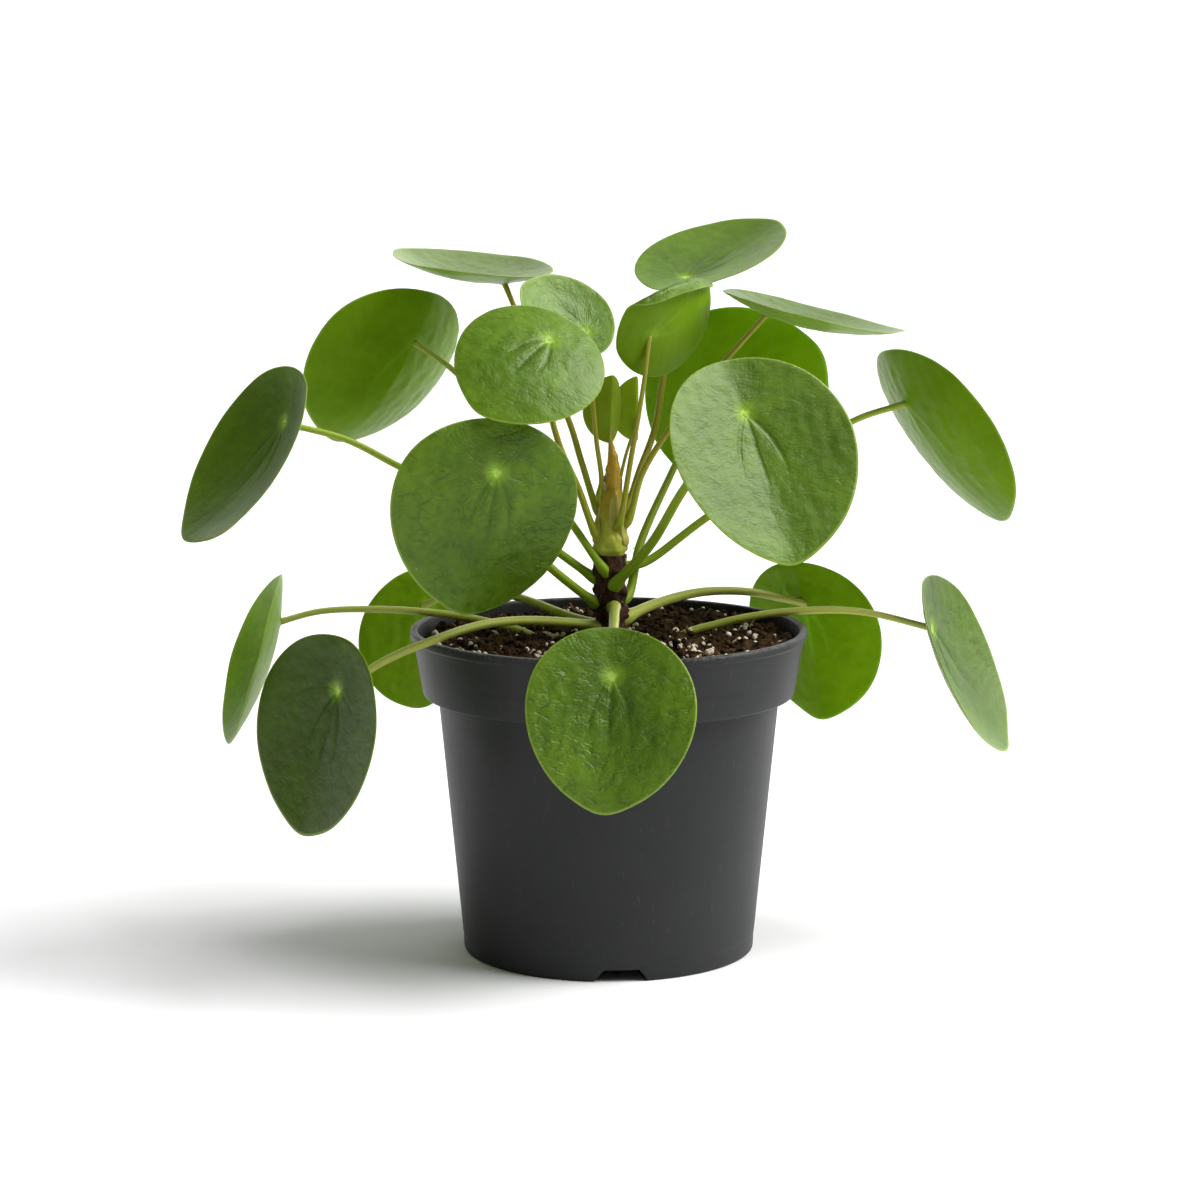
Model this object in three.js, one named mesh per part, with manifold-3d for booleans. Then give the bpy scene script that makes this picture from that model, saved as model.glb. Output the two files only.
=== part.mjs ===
// A pilea, the round-leaved coin plant, growing in a 12 cm nursery pot.
// Millimetres, +Z up. The origin is on the pot's axis, on the plane the pot stands on.
// The viewer of the photograph stands at -Y, with +X to the right.
import * as THREE from "three";
import { mergeVertices } from "three/addons/utils/BufferGeometryUtils.js";
import Module from "manifold-3d";

const wasm = await Module();
wasm.setup();

// Gap left between two pieces that touch.
const GAP = 0.3;

// Pot: a rolled lip, a tapering band under it, a step, and a tapering body on a foot ring.
const LIP_RADIUS = 60;
const POT_HEIGHT = 98.5;
const LIP_DROP = 2.4;
const LIP_OVERHANG = 0.9;
const BAND_BOTTOM = 78.6;
const BAND_BOTTOM_RADIUS = 56.1;
const BODY_TOP_RADIUS = 51.65;
const FOOT_RADIUS = 44.2;
const FOOT_STEP = 0.35;
const FOOT_STEP_HEIGHT = 5.5;
const FOOT_RING_WIDTH = 6;
const POT_WALL = 1.3;
const LEDGE_HALF_HEIGHT = 1;
const EDGE_EASE = 0.8;
const LIP_TOP_WIDTH = 0.8;
const LIP_INNER_EASE = 0.5;
const RING_DRAFT = 0.6;
const LIP_FILLET = 0.5;
const FLOOR_UNDERSIDE = 4;
const FLOOR_TOP = 5.6;
const ROUND_SIDES = 48;

// Drainage: three notches under the foot ring, and a hole through the floor beside each.
const NOTCH_HEIGHT = 3.6;
const NOTCH_TOP_WIDTH = 11;
const NOTCH_BOTTOM_WIDTH = 16;
const NOTCH_COUNT = 3;
const NOTCH_REACH = 8.4;
const FIRST_NOTCH_ANGLE = THREE.MathUtils.degToRad(-85);
const DRAIN_RADIUS = 4;
const DRAIN_CIRCLE = 31;
const DRAIN_SIDES = 12;

// Soil: fills the pot to just under the lip, with a gently lumpy top.
const SOIL_LEVEL = 94.5;
const SOIL_RIM_GAP = GAP + 0.2;
const SOIL_TOP_SHARES = [0.74, 0.5, 0.26];

// Stem: a short woody trunk, the green shoot that grows on from it, and the sheathed bud at its tip.
const TRUNK_AXIS = new THREE.Vector2(0.4, 2);
const TRUNK_FOOT = 70;
const TRUNK_RADIUS = 4.8;
const TRUNK_SIDES = 14;
const SHOOT_SIDES = 12;
const BUD_SIDES = 10;

// Blades are discs, carried off-centre by the stalk. Shares are of half the blade's length.
const BLADE_THICKNESS = 0.8;
const SEAT_SHARE = 0.46;
const BLADE_SIDES = 20;
const BLADE_RINGS = [0.35, 0.7, 1];
const CREASE_RADIUS = 1.2;
const TIP_POINT = 0.05;
const TIP_SPREAD = 0.3;
const STALK_SIDES = 6;
const STALK_STEPS = 9;
const ROOT_DEPTH = 3;

// Each leaf. seat: where the stalk meets the blade. size: the blade's length from end to end.
// azimuth, elevation: the direction that the blade's upper side faces, in degrees. turn: how far its
// tip is swung from straight down the slope, in degrees. cup: how far its rim rises, in mm (a negative
// cup droops). fold: how far its two halves are raised along the midrib, in degrees. width: its width
// as a share of its length. egg: how much broader its stalk end is than its tip. soft: how wide the
// fold is rounded, as a share of the half length. crease: a flap bent over, as its direction from the
// tip in degrees, its start and its line's bow as shares of the half length, how much of its width is
// left, and its bend in degrees, negative towards the underside.
// root, end: the stalk's diameters. route: the stalk's line, from where it leaves the stem.
const LEAVES = [
  {
    name: "leaf_01", seat: [-95.5, -20, 162.5], size: 58.5, azimuth: -151, elevation: 27.5, turn: -14,
    cup: 6, fold: 2, width: 0.95, root: 2.6, end: 1.8,
    route: [[-4, 2, 113], [-32.5, -6, 134], [-61, -14, 148.5], [-77.5, -18, 157.5]],
  },
  {
    name: "leaf_02", seat: [-60, 28, 182.5], size: 57, azimuth: 126, elevation: 25.5, turn: 14, cup: 8,
    fold: 10, width: 0.94, root: 2.6, end: 1.8,
    route: [[-1.5, -3, 116.5], [-11, 3, 129.5], [-27, 13, 151], [-47, 25, 173.5]],
  },
  {
    name: "leaf_03", seat: [-32, 26, 201], size: 49.5, azimuth: -59, elevation: 86.5, turn: -148, cup: 5,
    fold: 2, root: 2.2, end: 1.6, route: [[-3, 4, 133], [-8, 8, 147], [-12.5, 12, 161], [-29, 24, 194]],
  },
  {
    name: "leaf_04", seat: [-7, 7, 187.5], size: 31, azimuth: -61, elevation: 41, turn: -127, cup: 3,
    fold: 0, root: 1.6, end: 1.2,
    route: [[-2.8, 0.5, 137.5], [-2.2, 0, 143], [-3.8, -0.8, 156], [-5, 0.5, 169]],
  },
  {
    name: "leaf_05", seat: [-17, -31, 188], size: 44.5, azimuth: -74, elevation: 46, turn: -47, cup: -3.5,
    fold: 0, root: 2.4, end: 1.7,
    route: [[-3.5, 0, 126.5], [-9, -4, 141], [-14.5, -13, 155], [-17.5, -23, 169.5]],
  },
  {
    name: "leaf_06", seat: [-32, -48, 151], size: 57, azimuth: -67, elevation: -4, turn: -8, cup: -5,
    fold: -2, width: 1, egg: 0.13, root: 3, end: 2.2,
    route: [[-4, 0, 106], [-17.5, -14, 119], [-26.5, -31, 132]],
  },
  {
    name: "leaf_07", seat: [24, 38, 202], size: 49, azimuth: -126, elevation: 68, turn: 161, cup: 2.5,
    fold: 5, root: 2.2, end: 1.6, route: [[5, 4, 134], [9.5, 9, 145.5], [14, 17, 157], [17, 27, 173]],
  },
  {
    name: "leaf_08", seat: [12, -9, 187.5], size: 38.5, azimuth: 131, elevation: 21.5, turn: -124, cup: 5,
    fold: -15, crease: { direction: -60, start: 0.59, bow: 0.33, left: 0.75, bend: -140 }, root: 2,
    end: 1.3, route: [[3, -3, 130], [6.5, -4.5, 149.5], [10.5, -7.5, 174]],
  },
  {
    name: "leaf_09", seat: [47.5, 8, 192.5], size: 54.5, azimuth: -3, elevation: 73, turn: 3, cup: 5,
    fold: 0, root: 2.2, end: 1.6, route: [[5.5, 0, 130.5], [10, 1, 145], [18, 2, 158], [34.5, 6, 178]],
  },
  {
    name: "leaf_10", seat: [27.5, 42, 157], size: 60, azimuth: 69, elevation: 4, turn: -119, cup: 3,
    fold: 6, root: 2.8, end: 1.8, route: [[6, 8, 107.5], [9.5, 15, 121.5], [19, 30, 141]],
  },
  {
    name: "leaf_11", seat: [39, -46, 168], size: 62, azimuth: -70, elevation: 28, turn: 8, cup: 0,
    fold: 13, width: 0.93, root: 3, end: 2.2,
    route: [[2, -3, 112], [12.5, -12, 125.5], [22.5, -26, 144.5]],
  },
  {
    name: "leaf_12", seat: [91, 20, 164.5], size: 63, azimuth: 25, elevation: 29, turn: -10, cup: 5.5,
    fold: 6, root: 2.6, end: 1.8, route: [[4.5, 6, 116], [11, 9, 117], [29.5, 13, 130], [74, 18, 159]],
  },
  {
    name: "leaf_13", seat: [99, 10, 96.5], size: 57, azimuth: -20, elevation: 20.5, turn: 7, cup: 5.5,
    fold: 5, width: 0.94, root: 2.6, end: 1.8, fromSoil: true,
    route: [[14, 9, 87], [22, 11, 94], [33.5, 12, 97.5], [42, 12, 99.5], [57, 12, 101.5], [77, 11, 101.5]],
  },
  {
    name: "leaf_14", seat: [62, 46, 98.5], size: 51.5, azimuth: 54, elevation: 13, turn: -3, cup: -1,
    fold: 10, root: 3.3, end: 2.2,
    route: [[5.5, 4, 101], [16.5, 18, 103.5], [29.5, 31, 104.5], [43, 38, 103.5], [54, 41, 101]],
  },
  {
    name: "leaf_15", seat: [1, -72, 96.5], size: 51.5, azimuth: -85, elevation: 17, turn: -5, cup: -1.5,
    fold: 12, width: 0.95, egg: 0.1, root: 3.2, end: 2.2,
    route: [[1.5, -3, 105], [1.5, -25, 103], [1, -50, 103]],
  },
  {
    name: "leaf_16", seat: [-79, -42, 86.5], size: 58, azimuth: -141, elevation: 10, turn: -10, cup: 1,
    fold: 8, width: 1.04, root: 3.1, end: 2.2,
    route: [[-3.5, 0, 98.5], [-23.5, -9, 102], [-37.5, -20, 102.5], [-52, -34, 100], [-65, -38, 95]],
  },
  {
    name: "leaf_17", seat: [-100.5, 6, 99], size: 52.5, azimuth: -167, elevation: 16, turn: 17, cup: 4.5,
    fold: 9.5, root: 2.8, end: 1.8, fromSoil: true,
    route: [[-15, 7, 87], [-23, 9, 94], [-38.5, 9, 99], [-54.5, 9, 101.5], [-70, 9, 102.5], [-88, 8, 102]],
  },
  {
    name: "leaf_18", seat: [-60, 66, 94.5], size: 47, azimuth: 122, elevation: 8, turn: -5, cup: 1,
    fold: 0, root: 2.8, end: 2,
    route: [[-3.5, 6, 98], [-12, 14, 99.5], [-29, 34, 102.5], [-46, 54, 101.5]],
  },
  {
    name: "leaf_19", seat: [0.5, 3.5, 159.5], size: 20, azimuth: 115, elevation: 5, turn: 180, cup: 0,
    fold: 50, soft: 0.12, root: 1.2, end: 1, route: [[-0.8, 4.8, 138.5], [0.2, 4.4, 150]],
  },
  {
    name: "leaf_20", seat: [8.3, 12, 159], size: 19, azimuth: 120, elevation: 0, turn: 180, cup: 0,
    fold: 60, soft: 0.12, root: 1.2, end: 1, route: [[2.2, 4.6, 138], [5.2, 8.6, 150]],
  },
];

// Materials, one for each kind of piece.
const potPlastic = new THREE.MeshStandardMaterial({ color: 0x34363a, roughness: 0.55, metalness: 0 });
const soilMix = new THREE.MeshStandardMaterial({ color: 0x3b2a1e, roughness: 1, metalness: 0 });
const bark = new THREE.MeshStandardMaterial({ color: 0x33211a, roughness: 0.9, metalness: 0 });
const shootGreen = new THREE.MeshStandardMaterial({ color: 0x8f9440, roughness: 0.55, metalness: 0 });
const budBrown = new THREE.MeshStandardMaterial({ color: 0x9a6a34, roughness: 0.7, metalness: 0 });
const bladeGreen = new THREE.MeshStandardMaterial({ color: 0x3f6b22, roughness: 0.35, metalness: 0 });
const stalkGreen = new THREE.MeshStandardMaterial({ color: 0x94a455, roughness: 0.5, metalness: 0 });

// A closed manifold solid from a geometry whose shared vertices are merged.
function solidOf(geometry) {
  const bare = geometry.clone();
  bare.deleteAttribute("normal");
  bare.deleteAttribute("uv");
  const merged = mergeVertices(bare, 1e-4);
  return new wasm.Manifold(
    new wasm.Mesh({
      numProp: 3,
      vertProperties: new Float32Array(merged.attributes.position.array),
      triVerts: new Uint32Array(merged.index.array),
    }),
  );
}

// The geometry of a solid.
function geometryOf(solid) {
  const { vertProperties, triVerts } = solid.getMesh();
  const geometry = new THREE.BufferGeometry();
  geometry.setAttribute("position", new THREE.BufferAttribute(vertProperties, 3));
  geometry.setIndex(new THREE.BufferAttribute(triVerts, 1));
  geometry.computeVertexNormals();
  return geometry;
}

// A closed skin over rings of equally many points, listed from the foot up, each ring counter-clockwise
// seen from above, with its first and last rings closed by fans from the points foot and top.
function skin(rings, foot, top) {
  const sides = rings[0].length;
  const points = [foot, ...rings.flat(), top];
  const last = points.length - 1;
  const index = [];
  for (let side = 0; side < sides; side += 1) {
    const next = (side + 1) % sides;
    index.push(0, 1 + next, 1 + side);
    index.push(last, last - sides + side, last - sides + next);
    for (let ring = 0; ring < rings.length - 1; ring += 1) {
      const low = 1 + ring * sides;
      const high = low + sides;
      index.push(low + side, low + next, high + next);
      index.push(low + side, high + next, high + side);
    }
  }
  const geometry = new THREE.BufferGeometry().setFromPoints(points);
  geometry.setIndex(index);
  geometry.computeVertexNormals();
  return geometry;
}

// A round skin on an upright, slightly wandering axis. Stations: height, radius and the axis's place.
function turnedSkin(stations, sides, grow = 0) {
  const rings = stations.map(({ z, radius, x = TRUNK_AXIS.x, y = TRUNK_AXIS.y }) =>
    Array.from({ length: sides }, (_, side) => {
      const angle = (2 * Math.PI * side) / sides;
      return new THREE.Vector3(
        x + (radius + grow) * Math.cos(angle),
        y + (radius + grow) * Math.sin(angle),
        z,
      );
    }),
  );
  const endOf = ({ z, x = TRUNK_AXIS.x, y = TRUNK_AXIS.y }) => new THREE.Vector3(x, y, z);
  return skin(rings, endOf(stations[0]), endOf(stations.at(-1)));
}

// Outer radius of the pot's body at a height, between the foot step and the ledge under the band.
function bodyRadius(z) {
  const low = FOOT_RADIUS + FOOT_STEP;
  return low + ((BODY_TOP_RADIUS - low) * (z - FOOT_STEP_HEIGHT)) / (BAND_BOTTOM - FOOT_STEP_HEIGHT);
}

// Outer radius of the band at a height, between its bottom and the lip.
function bandRadius(z) {
  const top = LIP_RADIUS - LIP_OVERHANG;
  const share = (z - BAND_BOTTOM) / (POT_HEIGHT - LIP_DROP - BAND_BOTTOM);
  return BAND_BOTTOM_RADIUS + (top - BAND_BOTTOM_RADIUS) * share;
}

// Pot: one profile turned round, then the notches and drain holes are cut.
function potGeometry() {
  const lipFoot = POT_HEIGHT - LIP_DROP;
  const profile = [
    [0, FLOOR_UNDERSIDE],
    [FOOT_RADIUS - FOOT_RING_WIDTH - RING_DRAFT, FLOOR_UNDERSIDE],
    [FOOT_RADIUS - FOOT_RING_WIDTH, 0],
    [FOOT_RADIUS - EDGE_EASE, 0],
    [FOOT_RADIUS, EDGE_EASE],
    [FOOT_RADIUS + FOOT_STEP / 2, FOOT_STEP_HEIGHT - EDGE_EASE],
    [bodyRadius(FOOT_STEP_HEIGHT), FOOT_STEP_HEIGHT],
    [bodyRadius(BAND_BOTTOM - EDGE_EASE), BAND_BOTTOM - EDGE_EASE],
    [bodyRadius(BAND_BOTTOM) + EDGE_EASE, BAND_BOTTOM],
    [BAND_BOTTOM_RADIUS - EDGE_EASE, BAND_BOTTOM],
    [bandRadius(BAND_BOTTOM + LEDGE_HALF_HEIGHT), BAND_BOTTOM + LEDGE_HALF_HEIGHT],
    [bandRadius(lipFoot - LIP_FILLET), lipFoot - LIP_FILLET],
    [LIP_RADIUS, lipFoot],
    [LIP_RADIUS, POT_HEIGHT - EDGE_EASE],
    [LIP_RADIUS - EDGE_EASE, POT_HEIGHT],
    [LIP_RADIUS - EDGE_EASE - LIP_TOP_WIDTH, POT_HEIGHT],
    [LIP_RADIUS - EDGE_EASE - LIP_TOP_WIDTH - LIP_INNER_EASE, POT_HEIGHT - EDGE_EASE],
    [bandRadius(BAND_BOTTOM + LEDGE_HALF_HEIGHT) - POT_WALL, BAND_BOTTOM + LEDGE_HALF_HEIGHT],
    [bodyRadius(BAND_BOTTOM - LEDGE_HALF_HEIGHT) - POT_WALL, BAND_BOTTOM - LEDGE_HALF_HEIGHT],
    [bodyRadius(FLOOR_TOP) - POT_WALL, FLOOR_TOP],
    [0, FLOOR_TOP],
  ].map(([radius, z]) => new THREE.Vector2(radius, z));
  const turned = new THREE.LatheGeometry(profile, ROUND_SIDES).rotateX(Math.PI / 2);
  let pot = solidOf(turned);
  for (let count = 0; count < NOTCH_COUNT; count += 1) {
    const angle = FIRST_NOTCH_ANGLE + (2 * Math.PI * count) / NOTCH_COUNT;
    pot = pot.subtract(solidOf(notchGeometry().rotateZ(angle)));
    pot = pot.subtract(solidOf(drainGeometry().rotateZ(angle)));
  }
  return geometryOf(pot);
}

// A trapezium across the foot ring, wider at the ground, running out along +X.
function notchGeometry() {
  const outline = new THREE.Shape([
    new THREE.Vector2(-NOTCH_BOTTOM_WIDTH / 2, -1),
    new THREE.Vector2(NOTCH_BOTTOM_WIDTH / 2, -1),
    new THREE.Vector2(NOTCH_TOP_WIDTH / 2, NOTCH_HEIGHT),
    new THREE.Vector2(-NOTCH_TOP_WIDTH / 2, NOTCH_HEIGHT),
  ]);
  const length = 2 * FOOT_RING_WIDTH;
  return new THREE.ExtrudeGeometry(outline, { depth: length, bevelEnabled: false })
    .rotateX(Math.PI / 2)
    .rotateZ(Math.PI / 2)
    .translate(FOOT_RADIUS - NOTCH_REACH, 0, 0);
}

// A round hole through the floor, on the line of a notch.
function drainGeometry() {
  const depth = 2 * FLOOR_TOP;
  return new THREE.CylinderGeometry(DRAIN_RADIUS, DRAIN_RADIUS, depth, DRAIN_SIDES)
    .rotateX(Math.PI / 2)
    .translate(DRAIN_CIRCLE, 0, FLOOR_TOP);
}

// Height of the soil's top: two crossed ripples and a low mound at the back right.
function soilHeight(x, y) {
  const broad = 0.9 * Math.sin(0.21 * x + 1.3) * Math.cos(0.19 * y - 0.4);
  const fine = 0.6 * Math.sin(0.37 * x - 0.29 * y + 2.1);
  const mound = 1.6 * Math.exp(-((x - 28) ** 2 + (y - 38) ** 2) / 18 ** 2);
  return SOIL_LEVEL + broad + fine + mound;
}

// Soil: fills the pot from the floor to the level under the lip, a gap inside the wall.
function soilGeometry() {
  const ringAt = (radius, height) =>
    Array.from({ length: ROUND_SIDES }, (_, side) => {
      const angle = (2 * Math.PI * side) / ROUND_SIDES;
      const [x, y] = [radius * Math.sin(angle), -radius * Math.cos(angle)];
      return new THREE.Vector3(x, y, height(x, y));
    });
  const level = (z) => () => z;
  const inner = (z) => (z < BAND_BOTTOM ? bodyRadius(z) : bandRadius(z)) - POT_WALL;
  const underLedge = BAND_BOTTOM - LEDGE_HALF_HEIGHT;
  const overLedge = BAND_BOTTOM + LEDGE_HALF_HEIGHT;
  const rim = inner(SOIL_LEVEL) - SOIL_RIM_GAP;
  const rings = [
    ringAt(inner(FLOOR_TOP + GAP) - GAP, level(FLOOR_TOP + GAP)),
    ringAt(inner(underLedge) - GAP, level(underLedge + GAP)),
    ringAt(inner(overLedge) - GAP, level(overLedge + 1.5 * GAP)),
    ringAt(rim, soilHeight),
    ...SOIL_TOP_SHARES.map((share) => ringAt(share * rim, soilHeight)),
  ];
  const foot = new THREE.Vector3(0, 0, FLOOR_TOP + GAP);
  return skin(rings, foot, new THREE.Vector3(0, 0, soilHeight(0, 0)));
}

// Trunk: dark wood with the swollen scars of fallen leaves.
const trunkStations = [
  { z: TRUNK_FOOT, radius: 0.8 * TRUNK_RADIUS },
  { z: 90, radius: 0.95 * TRUNK_RADIUS },
  { z: 97, radius: 1.04 * TRUNK_RADIUS },
  { z: 99.5, radius: 0.93 * TRUNK_RADIUS },
  { z: 103.5, radius: 1.06 * TRUNK_RADIUS },
  { z: 106, radius: 0.94 * TRUNK_RADIUS },
  { z: 109.5, radius: 1.08 * TRUNK_RADIUS },
  { z: 112, radius: 0.96 * TRUNK_RADIUS },
  { z: 115.5, radius: 1.1 * TRUNK_RADIUS },
  { z: 118, radius: 0.98 * TRUNK_RADIUS },
  { z: 120.5, radius: 1.02 * TRUNK_RADIUS },
];

// Shoot: swollen at its foot where the leaf sheaths overlap, slimmer upwards.
const shootStations = [
  { z: 120.8, radius: 4.6 },
  { z: 122.5, radius: 5.4 },
  { z: 125, radius: 5.3, x: 0.6, y: 1.8 },
  { z: 127.5, radius: 4.6, x: 0.6, y: 1.7 },
  { z: 130, radius: 4.4, x: 0.7, y: 1.6 },
  { z: 133.5, radius: 3.8, x: 0.8, y: 1.4 },
  { z: 137, radius: 3.3, x: 0.9, y: 1.2 },
  { z: 140, radius: 2.6, x: 1, y: 1 },
];

// Bud: a tapering sheath at the tip.
const budStations = [
  { z: 140.3, radius: 2.3, x: 1, y: 1 },
  { z: 142, radius: 2.5, x: 1, y: 1 },
  { z: 146, radius: 2.3, x: 1.1, y: 0.9 },
  { z: 150, radius: 1.5, x: 1.1, y: 0.8 },
  { z: 153, radius: 0.8, x: 1.1, y: 0.6 },
  { z: 155, radius: 0.3, x: 1, y: 0.5 },
];

// The directions of a leaf: its upper side, its tip, and its left side as seen from above with the tip up.
function leafAxes({ azimuth, elevation, turn }) {
  const [around, up, swing] = [azimuth, elevation, turn].map(THREE.MathUtils.degToRad);
  const upper = new THREE.Vector3(
    Math.cos(up) * Math.cos(around),
    Math.cos(up) * Math.sin(around),
    Math.sin(up),
  );
  const down = new THREE.Vector3(0, 0, -1).addScaledVector(upper, upper.z).normalize();
  const side = new THREE.Vector3().crossVectors(upper, down);
  const tip = down.multiplyScalar(Math.cos(swing)).addScaledVector(side, Math.sin(swing));
  return { tip, side: new THREE.Vector3().crossVectors(upper, tip), upper };
}

// A point of a blade's middle surface, in the leaf's own frame with the seat at the origin, +X to the tip
// and +Z out of the upper side. share: 0 at the seat, 1 on the rim. angle: 0 towards the tip. What lies
// past a crease is first drawn back to the crease, takes the height there, and is laid out along the bend.
function bladePoint(leaf, share, angle) {
  const { size, cup, fold, width = 0.97, egg = 0.08, soft = 0.06, crease } = leaf;
  const half = size / 2;
  const seat = -SEAT_SHARE * half;
  const rimAlong = half * (Math.cos(angle) + TIP_POINT * Math.exp(-((angle / TIP_SPREAD) ** 2)));
  const rimAcross = half * width * Math.sin(angle) * (1 - egg * Math.cos(angle));
  const flat = new THREE.Vector2(seat + share * (rimAlong - seat), share * rimAcross);
  const { drawnBack, laidOut, rise } = flapOf(crease, half, flat);
  flat.sub(drawnBack);
  const raised = THREE.MathUtils.degToRad(fold);
  const rounding = soft * half;
  const cupped = cup * (((flat.x + 0.2 * half) ** 2 + flat.y ** 2) / half ** 2 - 0.26 ** 2);
  const folded = Math.sin(raised) * (Math.hypot(flat.y, rounding) - rounding);
  return new THREE.Vector3(
    flat.x + laidOut.x - seat,
    flat.y * Math.cos(raised) + laidOut.y,
    cupped + folded + rise,
  );
}

// How far a point of the disc lies past a crease, and where the bend takes it from the crease.
function flapOf(crease, half, flat) {
  const still = new THREE.Vector2();
  if (!crease) {
    return { drawnBack: still, laidOut: still, rise: 0 };
  }
  const { direction, start, bow, left, bend } = crease;
  const [heading, limit] = [direction, Math.abs(bend)].map(THREE.MathUtils.degToRad);
  const out = new THREE.Vector2(Math.cos(heading), Math.sin(heading));
  const beside = out.cross(flat);
  const past = Math.max(flat.dot(out) - start * half + (bow * beside ** 2) / half, 0);
  const angle = Math.min((left * past) / CREASE_RADIUS, limit);
  const rest = Math.max(left * past - CREASE_RADIUS * limit, 0);
  const reach = CREASE_RADIUS * Math.sin(angle) + rest * Math.cos(angle);
  const lift = CREASE_RADIUS * (1 - Math.cos(angle)) + rest * Math.sin(angle);
  return {
    drawnBack: out.clone().multiplyScalar(past),
    laidOut: out.clone().multiplyScalar(reach),
    rise: Math.sign(bend) * lift,
  };
}

// A blade between two offsets from its middle surface, with the same triangles on both faces.
function bladeGeometry(leaf, above, below) {
  const angles = Array.from({ length: BLADE_SIDES }, (_, side) => (2 * Math.PI * side) / BLADE_SIDES);
  const signed = (angle) => (angle > Math.PI ? angle - 2 * Math.PI : angle);
  const middle = [
    bladePoint(leaf, 0, 0),
    ...BLADE_RINGS.flatMap((share) => angles.map((angle) => bladePoint(leaf, share, signed(angle)))),
  ];
  const faces = [];
  for (let side = 0; side < BLADE_SIDES; side += 1) {
    const next = (side + 1) % BLADE_SIDES;
    faces.push([0, 1 + side, 1 + next]);
    for (let ring = 0; ring < BLADE_RINGS.length - 1; ring += 1) {
      const inner = 1 + ring * BLADE_SIDES;
      const outer = inner + BLADE_SIDES;
      faces.push([inner + side, outer + side, outer + next]);
      faces.push([inner + side, outer + next, inner + next]);
    }
  }
  const sheet = new THREE.BufferGeometry().setFromPoints(middle);
  sheet.setIndex(faces.flat());
  sheet.computeVertexNormals();
  const normals = sheet.attributes.normal;
  const outwards = middle.map((_, at) => new THREE.Vector3().fromBufferAttribute(normals, at));
  const offset = (distance) =>
    middle.map((point, at) => point.clone().addScaledVector(outwards[at], distance));
  const count = middle.length;
  const index = faces.flatMap(([a, b, c]) => [a, b, c, count + a, count + c, count + b]);
  const rim = count - BLADE_SIDES;
  for (let side = 0; side < BLADE_SIDES; side += 1) {
    const [here, there] = [rim + side, rim + ((side + 1) % BLADE_SIDES)];
    index.push(here, count + here, count + there);
    index.push(here, count + there, there);
  }
  const blade = new THREE.BufferGeometry().setFromPoints([...offset(above), ...offset(below)]);
  blade.setIndex(index);
  blade.computeVertexNormals();
  return blade;
}

// Where the stem's axis runs at a height.
function stemAxis(z) {
  const station = [...trunkStations, ...shootStations].findLast((each) => each.z <= z);
  return new THREE.Vector3(station.x ?? TRUNK_AXIS.x, station.y ?? TRUNK_AXIS.y, z);
}

// A stalk: a tapering six-sided tube along a smooth curve, from inside the stem to the blade's seat.
function stalkGeometry({ route, seat, root, end, fromSoil }, grow = 0) {
  const points = route.map((place) => new THREE.Vector3(...place));
  if (!fromSoil) {
    const start = points[0];
    points.unshift(stemAxis(start.z - ROOT_DEPTH).lerp(start, 0.3));
  }
  points.push(new THREE.Vector3(...seat));
  const curve = new THREE.CatmullRomCurve3(points, false, "centripetal");
  const { normals, binormals } = curve.computeFrenetFrames(STALK_STEPS);
  const centres = normals.map((_, step) => curve.getPointAt(step / STALK_STEPS));
  const rings = centres.map((centre, step) => {
    const radius = THREE.MathUtils.lerp(root, end, step / STALK_STEPS) / 2 + grow;
    return Array.from({ length: STALK_SIDES }, (_, side) => {
      const angle = (2 * Math.PI * side) / STALK_SIDES;
      return centre
        .clone()
        .addScaledVector(normals[step], radius * Math.cos(angle))
        .addScaledVector(binormals[step], radius * Math.sin(angle));
    });
  });
  return skin(rings, centres[0], centres.at(-1));
}

const plant = new THREE.Group();

function addPiece(name, geometry, material) {
  const piece = new THREE.Mesh(geometry, material);
  piece.name = name;
  plant.add(piece);
  return piece;
}

addPiece("pot", potGeometry(), potPlastic);
addPiece("trunk", turnedSkin(trunkStations, TRUNK_SIDES), bark);
addPiece("shoot", turnedSkin(shootStations, SHOOT_SIDES), shootGreen);
addPiece("bud", turnedSkin(budStations, BUD_SIDES), budBrown);

// The stem a gap larger all round, which trims the stalks and hollows the soil.
const stemRoom = solidOf(turnedSkin(trunkStations, TRUNK_SIDES, GAP))
  .add(solidOf(turnedSkin(shootStations, SHOOT_SIDES, GAP)))
  .add(solidOf(turnedSkin(budStations, BUD_SIDES, GAP)));

let soil = solidOf(soilGeometry()).subtract(stemRoom);
for (const leaf of LEAVES) {
  const sheet = bladeGeometry(leaf, BLADE_THICKNESS / 2, -BLADE_THICKNESS / 2);
  const blade = addPiece(`${leaf.name}_blade`, sheet, bladeGreen);
  const { tip, side, upper } = leafAxes(leaf);
  blade.quaternion.setFromRotationMatrix(new THREE.Matrix4().makeBasis(tip, side, upper));
  blade.position.set(...leaf.seat);
  blade.updateMatrix();
  const bladeRoom = bladeGeometry(leaf, leaf.end, -BLADE_THICKNESS / 2 - GAP).applyMatrix4(blade.matrix);
  const stalk = solidOf(stalkGeometry(leaf)).subtract(solidOf(bladeRoom)).subtract(stemRoom);
  addPiece(`${leaf.name}_stalk`, geometryOf(stalk), stalkGreen);
  if (leaf.fromSoil) {
    soil = soil.subtract(solidOf(stalkGeometry(leaf, GAP)));
  }
}
addPiece("soil", geometryOf(soil), soilMix);

export default plant;
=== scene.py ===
"""Looks of a potted pilea: fine surfaces, finishes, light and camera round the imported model.

Everything in Blender is in metres, +Z up. Sizes here are in millimetres, as the plant and its pot were
measured, and each piece is turned into metres when it is put in its mesh.
"""

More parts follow.
